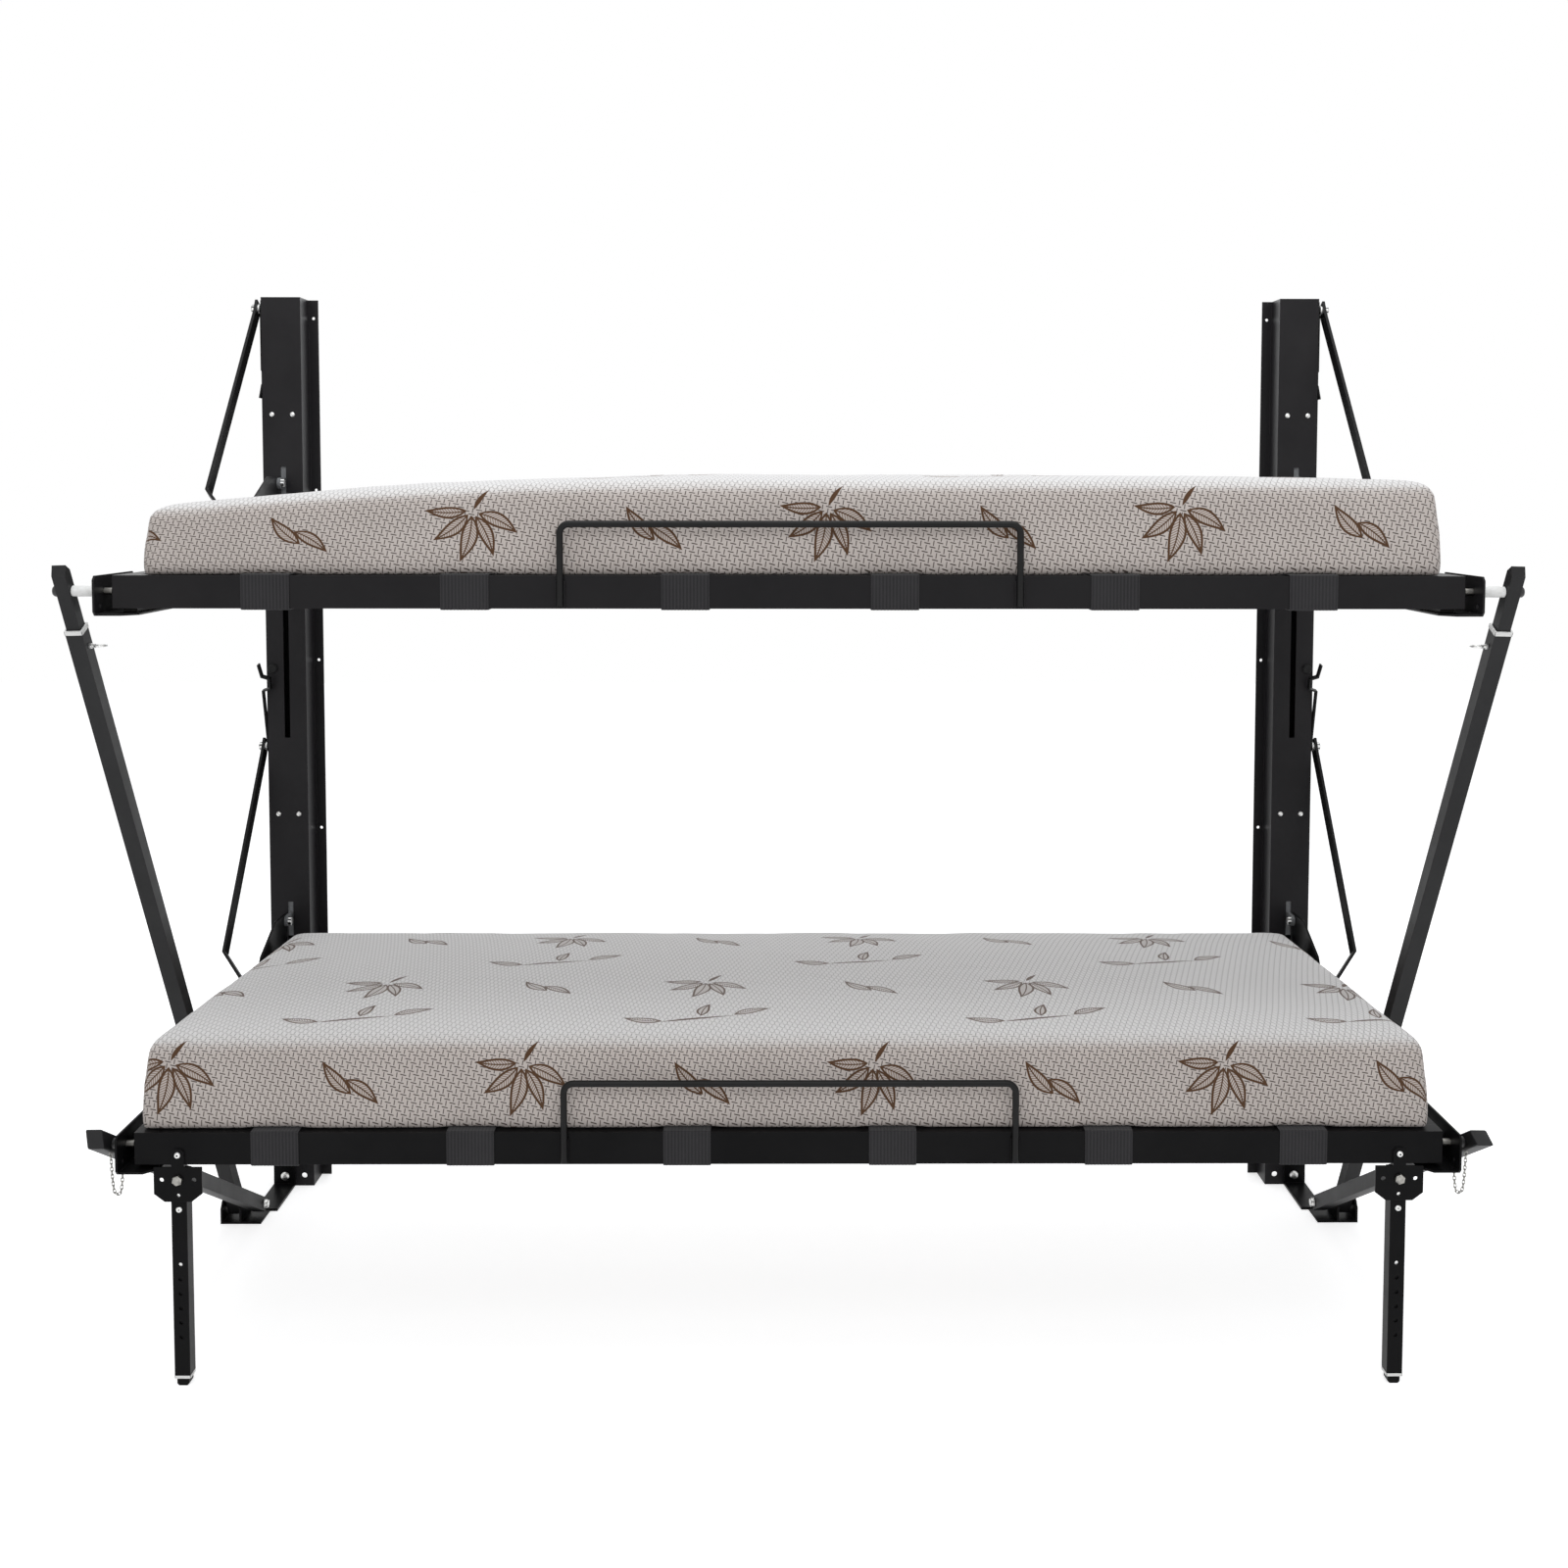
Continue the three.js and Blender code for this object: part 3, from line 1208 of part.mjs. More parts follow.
// Legs of the lower bed
{
  const pivot = LOWER.top - LEG_PIVOT_DROP;
  const tubeFront = FRONT_FACE - SEAT_GAP;
  const tubeMiddle = tubeFront - LEG_TUBE / 2;
  const place = (shape) => shape.translate(LEG_X, -tubeMiddle, 0);
  const legTop = pivot + LEG_ABOVE_PIVOT;
  const holes = [
    rodY(LEG_BOLT_RADIUS + SEAT_GAP, tubeFront - LEG_TUBE - 1, tubeFront + 1, LEG_X, pivot),
    rodY(
      BUTTON_RADIUS + SEAT_GAP,
      tubeFront - LEG_WALL - 1,
      tubeFront + 1,
      LEG_X,
      pivot - LOCK_HOLE_RING,
      SMALL_STEPS,
    ),
  ];
  for (let i = 0; i < LEG_HOLES; i++) {
    const z = pivot - FOOT_BUTTON_DROP - i * LEG_HOLE_PITCH;
    const bore = [tubeFront - LEG_WALL - 1, tubeFront + 1, LEG_X, z, SMALL_STEPS];
    holes.push(rodY(LOCK_HOLE_RADIUS, ...bore));
  }
  const rivet = dome(
    RIVET_RADIUS,
    RIVET_DOME,
    [LEG_X, -tubeFront + 0.5, pivot - LEG_RIVET_DROP],
    [0, -1, 0],
  );
  const collarWall = (LEG_TUBE - FOOT_TUBE) / 2 - RUNNING_GAP;
  const collarBottom = LEG_BOTTOM - LEG_COLLAR_HEIGHT;
  const legTube = join(
    cut(place(squareTube(LEG_TUBE, LEG_WALL, LEG_BOTTOM, legTop)), ...holes),
    place(squareTube(LEG_TUBE, collarWall, collarBottom, LEG_BOTTOM + 1)),
    rivet,
  );
  addPair("leg_tube", legTube, tubePaint);

  const footTop = pivot - FOOT_BUTTON_DROP + FOOT_ABOVE_BUTTON;
  const half = FOOT_TUBE / 2;
  const corner = FOOT_CHAMFER;
  const side = [
    [-half + corner, 0],
    [half - corner, 0],
    [half, corner],
    [half, footTop],
    [-half, footTop],
    [-half, corner],
  ];
  const footFront = tubeMiddle + half;
  const pocket = rodY(
    BUTTON_RADIUS + SEAT_GAP,
    footFront - BUTTON_LENGTH - 6,
    footFront + 1,
    LEG_X,
    pivot - FOOT_BUTTON_DROP,
    SMALL_STEPS,
  );
  const foot = frontPlate(
    side.map(([x, z]) => [x + LEG_X, z]),
    tubeMiddle - half,
    tubeMiddle + half,
  );
  addPair("leg_foot", cut(foot, pocket), barPaint);

  const button = (tip, z) => rodY(BUTTON_RADIUS, tip - BUTTON_LENGTH, tip, LEG_X, z, SMALL_STEPS);
  addPair(
    "foot_button",
    button(tubeFront - LEG_WALL - SEAT_GAP, pivot - FOOT_BUTTON_DROP),
    zinc,
  );
  addPair("leg_lock_button", button(tubeFront, pivot - LOCK_HOLE_RING), zinc);
}

// The origin is the middle of the footprint.
const reach = new THREE.Box3().setFromObject(frame);
frame.position.y = -(reach.min.y + reach.max.y) / 2;
const group = new THREE.Group();
group.name = "folding_bunk_bed";
group.add(frame);

export default group;
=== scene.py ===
# %% [markdown]
# # A two-tier bunk bed that folds against a wall
# Two posts of folded steel stand against the wall. Each bed is a frame of box rails laced with
# webbing, and turns up against the posts when nobody sleeps in it. The CAD model gives every
# piece its place. Here the steel keeps its CAD shape and gets its paint, and the soft pieces,
# the rods and the small hardware are made anew on the same coordinates.

# %% Load the CAD model as a fixed frame
import math

import bmesh
import bpy
from mathutils import Matrix, Quaternion, Vector, noise


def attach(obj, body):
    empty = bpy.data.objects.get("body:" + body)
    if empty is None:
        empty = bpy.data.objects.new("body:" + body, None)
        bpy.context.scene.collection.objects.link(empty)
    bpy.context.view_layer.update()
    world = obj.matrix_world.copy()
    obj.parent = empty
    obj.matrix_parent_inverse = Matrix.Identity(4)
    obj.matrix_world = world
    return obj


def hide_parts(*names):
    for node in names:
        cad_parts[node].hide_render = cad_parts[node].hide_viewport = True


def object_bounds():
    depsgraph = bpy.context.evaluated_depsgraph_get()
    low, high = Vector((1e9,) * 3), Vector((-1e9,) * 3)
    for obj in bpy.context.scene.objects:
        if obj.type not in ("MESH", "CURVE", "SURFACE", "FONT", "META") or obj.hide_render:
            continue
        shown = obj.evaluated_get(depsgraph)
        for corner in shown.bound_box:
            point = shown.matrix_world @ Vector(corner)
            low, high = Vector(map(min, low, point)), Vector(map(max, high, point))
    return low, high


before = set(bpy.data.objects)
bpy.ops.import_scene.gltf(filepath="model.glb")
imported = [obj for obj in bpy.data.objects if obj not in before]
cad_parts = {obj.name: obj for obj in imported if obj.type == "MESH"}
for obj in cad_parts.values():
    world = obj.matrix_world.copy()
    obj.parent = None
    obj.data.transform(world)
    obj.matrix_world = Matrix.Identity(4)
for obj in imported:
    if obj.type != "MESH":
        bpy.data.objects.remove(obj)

CAD_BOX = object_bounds()

# %% [markdown]
# The wall is the plane behind the posts. Sizes on a bed like this are read in millimetres from
# its middle, from the wall and from the floor, so one small helper turns such a reading into a
# point in metres, and another puts what is made there into the scene. Both beds are the same
# apart from their height and their length.

# %% Coordinates of the bed
MM = 0.001
WALL_Y = CAD_BOX[1].y
SIDES = {"left": -1, "right": 1}
RAIL_TOP = {"upper": 1208, "lower": 385}
HALF_LENGTH = {"upper": 981, "lower": 967}
RIGHT, FORWARD, UP = Vector((1, 0, 0)), Vector((0, -1, 0)), Vector((0, 0, 1))


def spot(x, from_wall, z):
    """A point in metres, from millimetres to the right, out from the wall and up."""
    return Vector((x * MM, WALL_Y - from_wall * MM, z * MM))


def new_object(name, data):
    piece = bpy.data.objects.new(name, data)
    bpy.context.scene.collection.objects.link(piece)
    return piece


print("the wall stands at y =", round(WALL_Y, 4))

# %% [markdown]
# The photograph is taken a little above the upper mattress, looking slightly down, with a normal
# lens. The camera comes first, because everything after it is judged through it. The shift moves
# the picture without tilting the camera, which keeps the posts upright.

# %% The camera
EYE = spot(3, 3348, 1335)
YAW, PITCH, ROLL = (math.radians(a) for a in (0.34, 3.49, 0.06))
gaze = Vector((math.sin(YAW) * math.cos(PITCH), math.cos(YAW) * math.cos(PITCH), -math.sin(PITCH)))
lens = bpy.data.cameras.new("photo_camera")
lens.sensor_width, lens.lens = 36.0, 40.23
lens.shift_x, lens.shift_y = -0.0119, -0.1206
camera = new_object("photo_camera", lens)
turn = gaze.to_track_quat("-Z", "Y").to_matrix() @ Matrix.Rotation(ROLL, 3, "Z")
camera.matrix_world = Matrix.Translation(EYE) @ turn.to_4x4()
bpy.context.scene.camera = camera
print("camera", [round(v, 3) for v in EYE])

# %% [markdown]
# A node tree is a list of small steps, each wired to the next. These helpers add one step in one
# line: an input is given by its name, and may be a plain value or the output of another step.
# They serve the materials and the Geometry Nodes trees alike. Every material starts from the
# standard shader, and most have some noise and a fine relief, so these have helpers too.

# %% Helpers for node trees


def feed(tree, socket, value):
    if isinstance(value, bpy.types.NodeSocket):
        tree.links.new(value, socket)
    else:
        socket.default_value = value


def put(tree, kind, settings=None, **inputs):
    node = tree.nodes.new(kind)
    for key, value in (settings or {}).items():
        setattr(node, key, value)
    for key, value in inputs.items():
        feed(tree, node.inputs[key.replace("_", " ")], value)
    return node


def calc(tree, operation, *values):
    node = put(tree, "ShaderNodeMath", {"operation": operation})
    for socket, value in zip(node.inputs, values):
        feed(tree, socket, value)
    return node.outputs[0]


def plus(tree, first, second):
    return calc(tree, "ADD", first, second)


def minus(tree, first, second):
    return calc(tree, "SUBTRACT", first, second)


def times(tree, first, second):
    return calc(tree, "MULTIPLY", first, second)


def ramp(tree, value, low, high, start=0.0, end=1.0):
    node = put(tree, "ShaderNodeMapRange", Value=value, From_Min=low, From_Max=high)
    node.inputs["To Min"].default_value, node.inputs["To Max"].default_value = start, end
    return node.outputs[0]


def blend(tree, factor, first, second):
    node = put(tree, "ShaderNodeMix", {"data_type": "RGBA"})
    for socket, value in zip((node.inputs[0], node.inputs[6], node.inputs[7]), (factor, first, second)):
        feed(tree, socket, value)
    return node.outputs[2]


def tone(red, green, blue):
    """A colour as it looks on a screen, 0 to 255, in the linear numbers that shaders take."""
    linear = [v / 3294.6 if v <= 10 else ((v / 255 + 0.055) / 1.055) ** 2.4 for v in (red, green, blue)]
    return (*linear, 1.0)


def start(name, **plain):
    """A new material with its tree and its shader; plain gives inputs that are plain values."""
    material = bpy.data.materials.new(name)
    material.use_nodes = True
    shader = material.node_tree.nodes["Principled BSDF"]
    for key, value in plain.items():
        shader.inputs[key.replace("_", " ")].default_value = value
    return material, material.node_tree, shader


def speckle(tree, scale, detail, roughness=0.5):
    """Noise that is fixed to the object's own coordinates."""
    place = put(tree, "ShaderNodeTexCoord").outputs["Object"]
    noisy = put(tree, "ShaderNodeTexNoise", Vector=place, Scale=scale, Detail=detail, Roughness=roughness)
    return noisy.outputs[0]


def emboss(tree, shader, height, strength, distance, **normal):
    relief = put(tree, "ShaderNodeBump", Strength=strength, Distance=distance, Height=height, **normal)
    feed(tree, shader.inputs["Normal"], relief.outputs[0])


# %% [markdown]
# The backdrop is plain white, as in a catalogue. White for the camera, for glossy metal and for
# glass comes from the Light Path node, so the white costs no extra light on the bed. The floor
# still darkens where the bed keeps the light off it.

# %% Floor and world
WORLD_LIGHT, FLOOR_GREY, FLOOR_GLOW, FLOOR_HALF = 0.6, 0.78, 0.66, 9.0


def seen_directly(tree):
    path = put(tree, "ShaderNodeLightPath").outputs
    seen = plus(tree, path["Is Camera Ray"], path["Is Glossy Ray"])
    return calc(tree, "MINIMUM", plus(tree, seen, path["Is Transmission Ray"]), 1.0)


world = bpy.data.worlds.new("studio")
bpy.context.scene.world = world
world.use_nodes = True
sky = world.node_tree
soft = sky.nodes["Background"]
soft.inputs["Color"].default_value = (0.97, 0.98, 1.0, 1.0)
soft.inputs["Strength"].default_value = WORLD_LIGHT
white = put(sky, "ShaderNodeBackground", Color=(1, 1, 1, 1), Strength=1.0)
either = put(sky, "ShaderNodeMixShader", Fac=seen_directly(sky))
sky.links.new(soft.outputs[0], either.inputs[1])
sky.links.new(white.outputs[0], either.inputs[2])
sky.links.new(either.outputs[0], sky.nodes["World Output"].inputs["Surface"])

grey = (FLOOR_GREY, FLOOR_GREY, FLOOR_GREY, 1.0)
floor_paint, ground, matt = start("pale_floor", Base_Color=grey, Roughness=0.9, Specular_IOR_Level=0.0)
brighter = times(ground, seen_directly(ground), FLOOR_GLOW)
glow = put(ground, "ShaderNodeEmission", Color=(1, 1, 1, 1), Strength=brighter)
both = put(ground, "ShaderNodeAddShader")
ground.links.new(matt.outputs[0], both.inputs[0])
ground.links.new(glow.outputs[0], both.inputs[1])
ground.links.new(both.outputs[0], ground.nodes["Material Output"].inputs["Surface"])

floor_mesh = bpy.data.meshes.new("floor")
floor_corners = [(x * FLOOR_HALF, y * FLOOR_HALF, 0) for x, y in ((-1, -1), (1, -1), (1, 1), (-1, 1))]
floor_mesh.from_pydata(floor_corners, [], [(0, 1, 2, 3)])
floor_mesh.materials.append(floor_paint)
floor = new_object("floor", floor_mesh)
print("floor:", 2 * FLOOR_HALF, "m across")

# %% [markdown]
# A studio lights furniture with large soft boxes, whose shadows have soft edges. One hangs
# overhead, one stands high in front and one behind, all slightly cool, and a weak warm one at each
# side fills the front faces. Together they show a colour about as it is written.

# %% Lamps


def lamp(name, place, target, size, watts, colour):
    light = bpy.data.lights.new(name, "AREA")
    light.color = colour
    light.shape, light.size, light.size_y, light.energy = "RECTANGLE", size[0], size[1], watts
    holder = new_object(name, light)
    aim = (Vector(target) - Vector(place)).to_track_quat("-Z", "Y")
    holder.matrix_world = Matrix.Translation(place) @ aim.to_matrix().to_4x4()
    holder.visible_camera = False


WARM, COOL = (1.0, 0.94, 0.9), (0.96, 0.98, 1.0)
lamp("overhead_softbox", (0.0, -0.5, 4.0), (0, 0, 0.6), (3.6, 2.2), 42, COOL)
lamp("high_front_softbox", (0.0, -3.0, 3.3), (0, 0, 0.6), (2.6, 1.4), 22, COOL)
lamp("rear_softbox", (0.0, 2.4, 1.9), (0, 0, 0.5), (3.2, 1.2), 22, COOL)
lamp("left_softbox", (-1.9, -3.6, 1.95), (0, 0, 0.8), (1.3, 1.9), 6, WARM)
lamp("right_softbox", (1.9, -3.6, 1.95), (0, 0, 0.8), (1.3, 1.9), 6, WARM)
bpy.context.scene.view_settings.view_transform = "Standard"

# %% [markdown]
# Steel furniture of this kind is powder coated: a dry paint is sprayed on and baked, and sets
# with a fine orange-peel skin that rounds every edge. The Bevel node gives the round edge without
# touching the CAD mesh, and the same node finds the edges, which are painted a shade lighter:
# partly paint rubbed by handling, partly a painted highlight where the edges catch the light.
# Slow noise changes the gloss from place to place, as real coats do.

# %% Powder coat
PEEL_SCALE, PEEL_DEPTH, COAT_RADIUS = 1100.0, 0.14, 0.0011


def edge_finder(tree, radius):
    """The rounded normal, and a mask that is 1 on the edges."""
    rounded = put(tree, "ShaderNodeBevel", {"samples": 6}, Radius=radius).outputs[0]
    flat = put(tree, "ShaderNodeNewGeometry").outputs["Normal"]
    dot = put(tree, "ShaderNodeVectorMath", {"operation": "DOT_PRODUCT"})
    tree.links.new(rounded, dot.inputs[0])
    tree.links.new(flat, dot.inputs[1])
    return rounded, ramp(tree, dot.outputs["Value"], 0.995, 0.9)


def powder_coat(name, colour, dust_wear_and_highlight, roughness, gloss):
    material, tree, shader = start(name, Specular_IOR_Level=gloss)
    skin, cloud = speckle(tree, PEEL_SCALE, 2.0), speckle(tree, 6.0, 5.0, 0.62)
    rounded, edge = edge_finder(tree, COAT_RADIUS)
    dusty = blend(tree, ramp(tree, cloud, 0.3, 0.75, 0.0, 0.3), colour, dust_wear_and_highlight)
    # The edges are lightened: rubbed paint, and a painted highlight where they catch the light.
    worn_and_highlit_edge = times(tree, edge, ramp(tree, cloud, 0.25, 0.65, 0.35, 1.0))
    feed(tree, shader.inputs["Base Color"], blend(tree, worn_and_highlit_edge, dusty, dust_wear_and_highlight))
    matt_skin = ramp(tree, cloud, 0.3, 0.7, roughness + 0.07, roughness - 0.05)
    polish = times(tree, edge, 0.08)
    feed(tree, shader.inputs["Roughness"], minus(tree, matt_skin, polish))
    emboss(tree, shader, skin, PEEL_DEPTH, 0.0003, Normal=rounded)
    return material


# Each coat's second colour is its dust, its rubbed edges and the painted highlight along them.
post_paint = powder_coat("post_powder_coat", tone(28, 27, 29), tone(52, 51, 53), 0.4, 0.16)
rail_paint = powder_coat("rail_powder_coat", tone(20, 19, 21), tone(46, 45, 46), 0.36, 0.14)
# A darker, duller copy of the rail paint: painted shade for the low parts of the frame.
shaded_lower_paint = powder_coat("lower_frame_powder_coat", tone(9, 9, 10), tone(34, 33, 34), 0.34, 0.08)
tube_paint = powder_coat("strut_powder_coat", tone(28, 28, 29), tone(56, 56, 57), 0.45, 0.22)
bar_paint = powder_coat("flat_bar_paint", tone(11, 11, 11), tone(40, 40, 41), 0.38, 0.2)
print("paints:", [m.name for m in (post_paint, rail_paint, shaded_lower_paint, tube_paint, bar_paint)])

# %% [markdown]
# Bolts, rivets and chains are zinc plated: bright, a little cloudy, and with a fine grain. A few
# plain parts are moulded nylon, the stop knobs are rubber, and the corner bolts are blackened
# steel. These share one recipe with other numbers.

# %% Metals and plastics
PLATED_RADIUS = 0.0005


def plated(name, colour, dull, roughness, metallic=1.0, gloss=0.5):
    material, tree, shader = start(name, Metallic=metallic, Specular_IOR_Level=gloss)
    cloud, fine = speckle(tree, 180.0, 4.0), speckle(tree, 2600.0, 2.0)
    rounded, edge = edge_finder(tree, PLATED_RADIUS)
    feed(tree, shader.inputs["Base Color"], blend(tree, ramp(tree, cloud, 0.35, 0.7), colour, dull))
    smooth = ramp(tree, cloud, 0.3, 0.7, roughness, roughness + 0.14)
    feed(tree, shader.inputs["Roughness"], plus(tree, smooth, times(tree, edge, 0.06)))
    emboss(tree, shader, fine, 0.1, 0.0002, Normal=rounded)
    return material


zinc = plated("bright_zinc", tone(236, 236, 233), tone(204, 205, 206), 0.3)
chain_steel = plated("chain_zinc", tone(168, 166, 160), tone(124, 123, 120), 0.3)
black_steel = plated("blackened_steel", tone(30, 30, 31), tone(46, 45, 45), 0.34, metallic=0.0, gloss=0.5)
white_nylon = plated("white_nylon", tone(250, 250, 248), tone(240, 240, 237), 0.38, metallic=0.0, gloss=0.45)
grey_nylon = plated("grey_nylon", tone(128, 130, 132), tone(110, 112, 114), 0.46, metallic=0.0, gloss=0.4)
black_rubber = plated("black_rubber", tone(24, 24, 25), tone(34, 34, 34), 0.62, metallic=0.0, gloss=0.3)
print("metals and plastics ready")

# %% [markdown]
# The CAD nodes keep their shape. Their names say what they are, so a short table gives each its
# finish. The lower bed's rails and legs and the floor brackets get a darker, duller copy of the
# rail paint: painted shade for the low parts of the frame, which stand in the upper bed's shade.
# Later rows of the table win.

# %% Paint the steel
FINISH = {
    "post": post_paint,
    # The lower frame's paint, in this row and the rows below, carries painted shade.
    "floor_bracket": shaded_lower_paint,
    "slider": grey_nylon,
    "_rail": rail_paint,
    "lower_front_rail": shaded_lower_paint,
    "lower_rear_rail": shaded_lower_paint,
    "lower_left_end_rail": shaded_lower_paint,
    "lower_right_end_rail": shaded_lower_paint,
    "brace": bar_paint,
    "hook": bar_paint,
    "strut_tube": tube_paint,
    "strut_inner": tube_paint,
    "leg_tube": shaded_lower_paint,
    "leg_foot": shaded_lower_paint,
    "button": zinc,
    "corner_pin": black_steel,
}
for name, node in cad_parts.items():
    for ending, material in FINISH.items():
        if name.endswith(ending):
            node.data.materials.clear()
            node.data.materials.append(material)
print("painted CAD nodes:", sum(n.endswith(tuple(FINISH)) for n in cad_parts))

# %% [markdown]
# Small turned parts, such as rivet heads and washers, all come from a lathe: an outline goes once
# round an axis. The same helper with six steps makes a hexagon head. Each is made once, with only
# a few dozen faces, and Geometry Nodes then stamps it wherever the bed has one.

# %% A lathe for small parts


def close_up(bm, mesh, sharp=35):
    """Merges doubled points, turns the faces outwards, and keeps only real edges sharp."""
    bmesh.ops.remove_doubles(bm, verts=bm.verts, dist=1e-6)
    bmesh.ops.recalc_face_normals(bm, faces=bm.faces)
    for face in bm.faces:
        face.smooth = True
    bm.to_mesh(mesh)
    bm.free()
    mesh.set_sharp_from_angle(angle=math.radians(sharp))


def lathe(name, outline, steps=20):
    """outline: radius and height in millimetres, from the foot on the axis to the tip on it."""
    bm = bmesh.new()
    rings = []
    for radius, height in outline:
        angles = [2 * math.pi * i / steps for i in range(steps if radius else 1)]
        reach, level = radius * MM, height * MM
        rings.append([bm.verts.new((reach * math.cos(a), reach * math.sin(a), level)) for a in angles])
    for low, high in zip(rings, rings[1:]):
        for i in range(steps):
            j = i + 1
            corners = [low[i % len(low)], low[j % len(low)], high[j % len(high)], high[i % len(high)]]
            bm.faces.new(list(dict.fromkeys(corners)))
    mesh = bpy.data.meshes.new(name)
    close_up(bm, mesh)
    return new_object(name, mesh)


print("a lathe outline turns round the z axis")

# %% [markdown]
# Each outline runs from the part's hidden foot to its tip, in millimetres. Nearly all start a
# little below zero, sunk in the steel that the part sits on, so that no gap shows there.

# %% Rivets, bolts, washers and knobs
rivet = lathe("rivet", [(0, -1), (4.8, -1), (4.8, 0.3), (4.5, 1.3), (3.5, 2.3), (1.9, 2.9), (0, 3.05)])
pop_rivet = lathe("pop_rivet", [
    (0, -1), (4.8, -1), (4.8, 0.3), (4.4, 1.5), (3.2, 2.5), (1.5, 2.8), (1.2, 2.0), (0, 1.8),
])
hex_head = lathe("hex_head", [(0, -0.5), (8.3, -0.5), (8.3, 5.3), (7.1, 6.3), (0, 6.3)], 6)
washer = lathe("washer", [(0, -0.2), (9.25, -0.2), (9.25, 3.2), (0, 3.2)])
stub = lathe("stub", [(0, -1), (4.1, -1), (4.1, 1.2), (3.5, 1.9), (0, 1.9)], 16)
cap_bolt = lathe("cap_bolt", [(0, -0.3), (8.3, -0.3), (8.2, 1.2), (7.2, 2.6), (5, 3.7), (2.4, 4.2), (0, 4.3)])
stud = lathe("stud", [(0, 0.1), (5.25, 0.1), (5.25, 11.5), (4.6, 12.3), (0, 12.3)])
knob = lathe("knob", [
    (0, -0.5), (8.3, -0.5), (8.3, 1.6), (7.6, 2.0), (7.6, 2.6), (8.3, 3.0), (8.3, 6.1), (7.1, 7.5), (0, 7.8),
])
print("lathe parts:", rivet.name, hex_head.name, washer.name, knob.name)

# %% [markdown]
# One Geometry Nodes tree stamps a part on many points. Each point carries the turn that its copy
# takes, as an attribute. The tree ends in Realize Instances and Set Material, because a copy that
# is only an instance is lost when the model is exported.

# %% The stamping tree


def new_tree(name, *sockets):
    tree = bpy.data.node_groups.new(name, "GeometryNodeTree")
    tree.interface.new_socket(name="Geometry", in_out="INPUT", socket_type="NodeSocketGeometry")
    for label, kind in sockets:
        tree.interface.new_socket(name=label, in_out="INPUT", socket_type=kind)
    tree.interface.new_socket(name="Geometry", in_out="OUTPUT", socket_type="NodeSocketGeometry")
    return tree, tree.nodes.new("NodeGroupInput").outputs, tree.nodes.new("NodeGroupOutput").inputs


def end_tree(tree, geometry, finish, result):
    """Every tree ends in real geometry in its material."""
    real = put(tree, "GeometryNodeRealizeInstances", Geometry=geometry)
    coated = put(tree, "GeometryNodeSetMaterial", Geometry=real.outputs[0], Material=finish)
    feed(tree, result, coated.outputs[0])


STAMP, given, result = new_tree(
    "stamp_parts", ("Part", "NodeSocketObject"), ("Size", "NodeSocketFloat"), ("Finish", "NodeSocketMaterial")
)
part = put(STAMP, "GeometryNodeObjectInfo", Object=given["Part"])
turned = put(STAMP, "GeometryNodeInputNamedAttribute", {"data_type": "FLOAT_VECTOR"}, Name="turn")
rotation = put(STAMP, "FunctionNodeEulerToRotation", Euler=turned.outputs[0])
copies = put(
    STAMP, "GeometryNodeInstanceOnPoints", Points=given["Geometry"],
    Instance=part.outputs["Geometry"], Rotation=rotation.outputs[0], Scale=given["Size"],
)
end_tree(STAMP, copies.outputs[0], given["Finish"], result["Geometry"])


def apply_modifiers(piece):
    made = bpy.data.meshes.new_from_object(piece.evaluated_get(bpy.context.evaluated_depsgraph_get()))
    piece.modifiers.clear()
    piece.data = made


def run_tree(piece, tree, **values):
    """Runs a Geometry Nodes tree on a piece, and leaves the plain mesh that comes out."""
    maker = piece.modifiers.new("maker", "NODES")
    maker.node_group = tree
    for item in tree.interface.items_tree:
        if item.in_out == "INPUT" and item.name in values:
            maker[item.identifier] = values[item.name]
    apply_modifiers(piece)
    piece.data.name = piece.name
    return piece


def stamp(name, part, places, body, finish, size=1.0):
    """places: a point and the way that the part's axis points there, and for some a twist."""
    mesh = bpy.data.meshes.new(name)
    mesh.from_pydata([place[0] for place in places], [], [])
    turns = mesh.attributes.new("turn", "FLOAT_VECTOR", "POINT")
    for row, (_, facing, *twist) in zip(turns.data, places):
        rotation = UP.rotation_difference(facing) @ Quaternion(UP, twist[0] if twist else 0.0)
        row.vector = rotation.to_euler()
    piece = run_tree(new_object(name, mesh), STAMP, Part=part, Size=size, Finish=finish)
    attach(piece, body)


print("stamping tree:", len(STAMP.nodes), "nodes")

# %% [markdown]
# Each post's face shows two pairs of dome rivets, and a stop knob beside the slot. The flat
# braces and the stow hooks turn on bolts through the post's sides, and the struts turn on bolts
# in the floor brackets. A head's twist is the angle that its hexagon was tightened to.

# %% Hardware of the posts and the floor brackets
POST_X, POST_FACE = 948.5, 60
RIVET_HEIGHTS, RIVET_OFFSETS = (1471, 719), (-19, 19)
KNOB_X, KNOB_HEIGHT = 974, 995
BRACE_PIVOT_HEIGHTS, BRACE_PIVOT_U, BRACE_PIVOT_TWIST = (1668, 845), 40, math.radians(15)
BRACE_PIVOT_X, BRACE_BOLT_END_X, WASHERS_X = 1000.6, 1006.6, (985, 991.8)
TAB_BOLT_X, TAB_FACE, TAB_BOLT_HEIGHT = 966.5, 63.3, 20
FOOT_U, FOOT_HEIGHT = 205, 25
FOOT_BOLTS = [(1033, 1, 0.3), (962.5, -1, 0.1)]

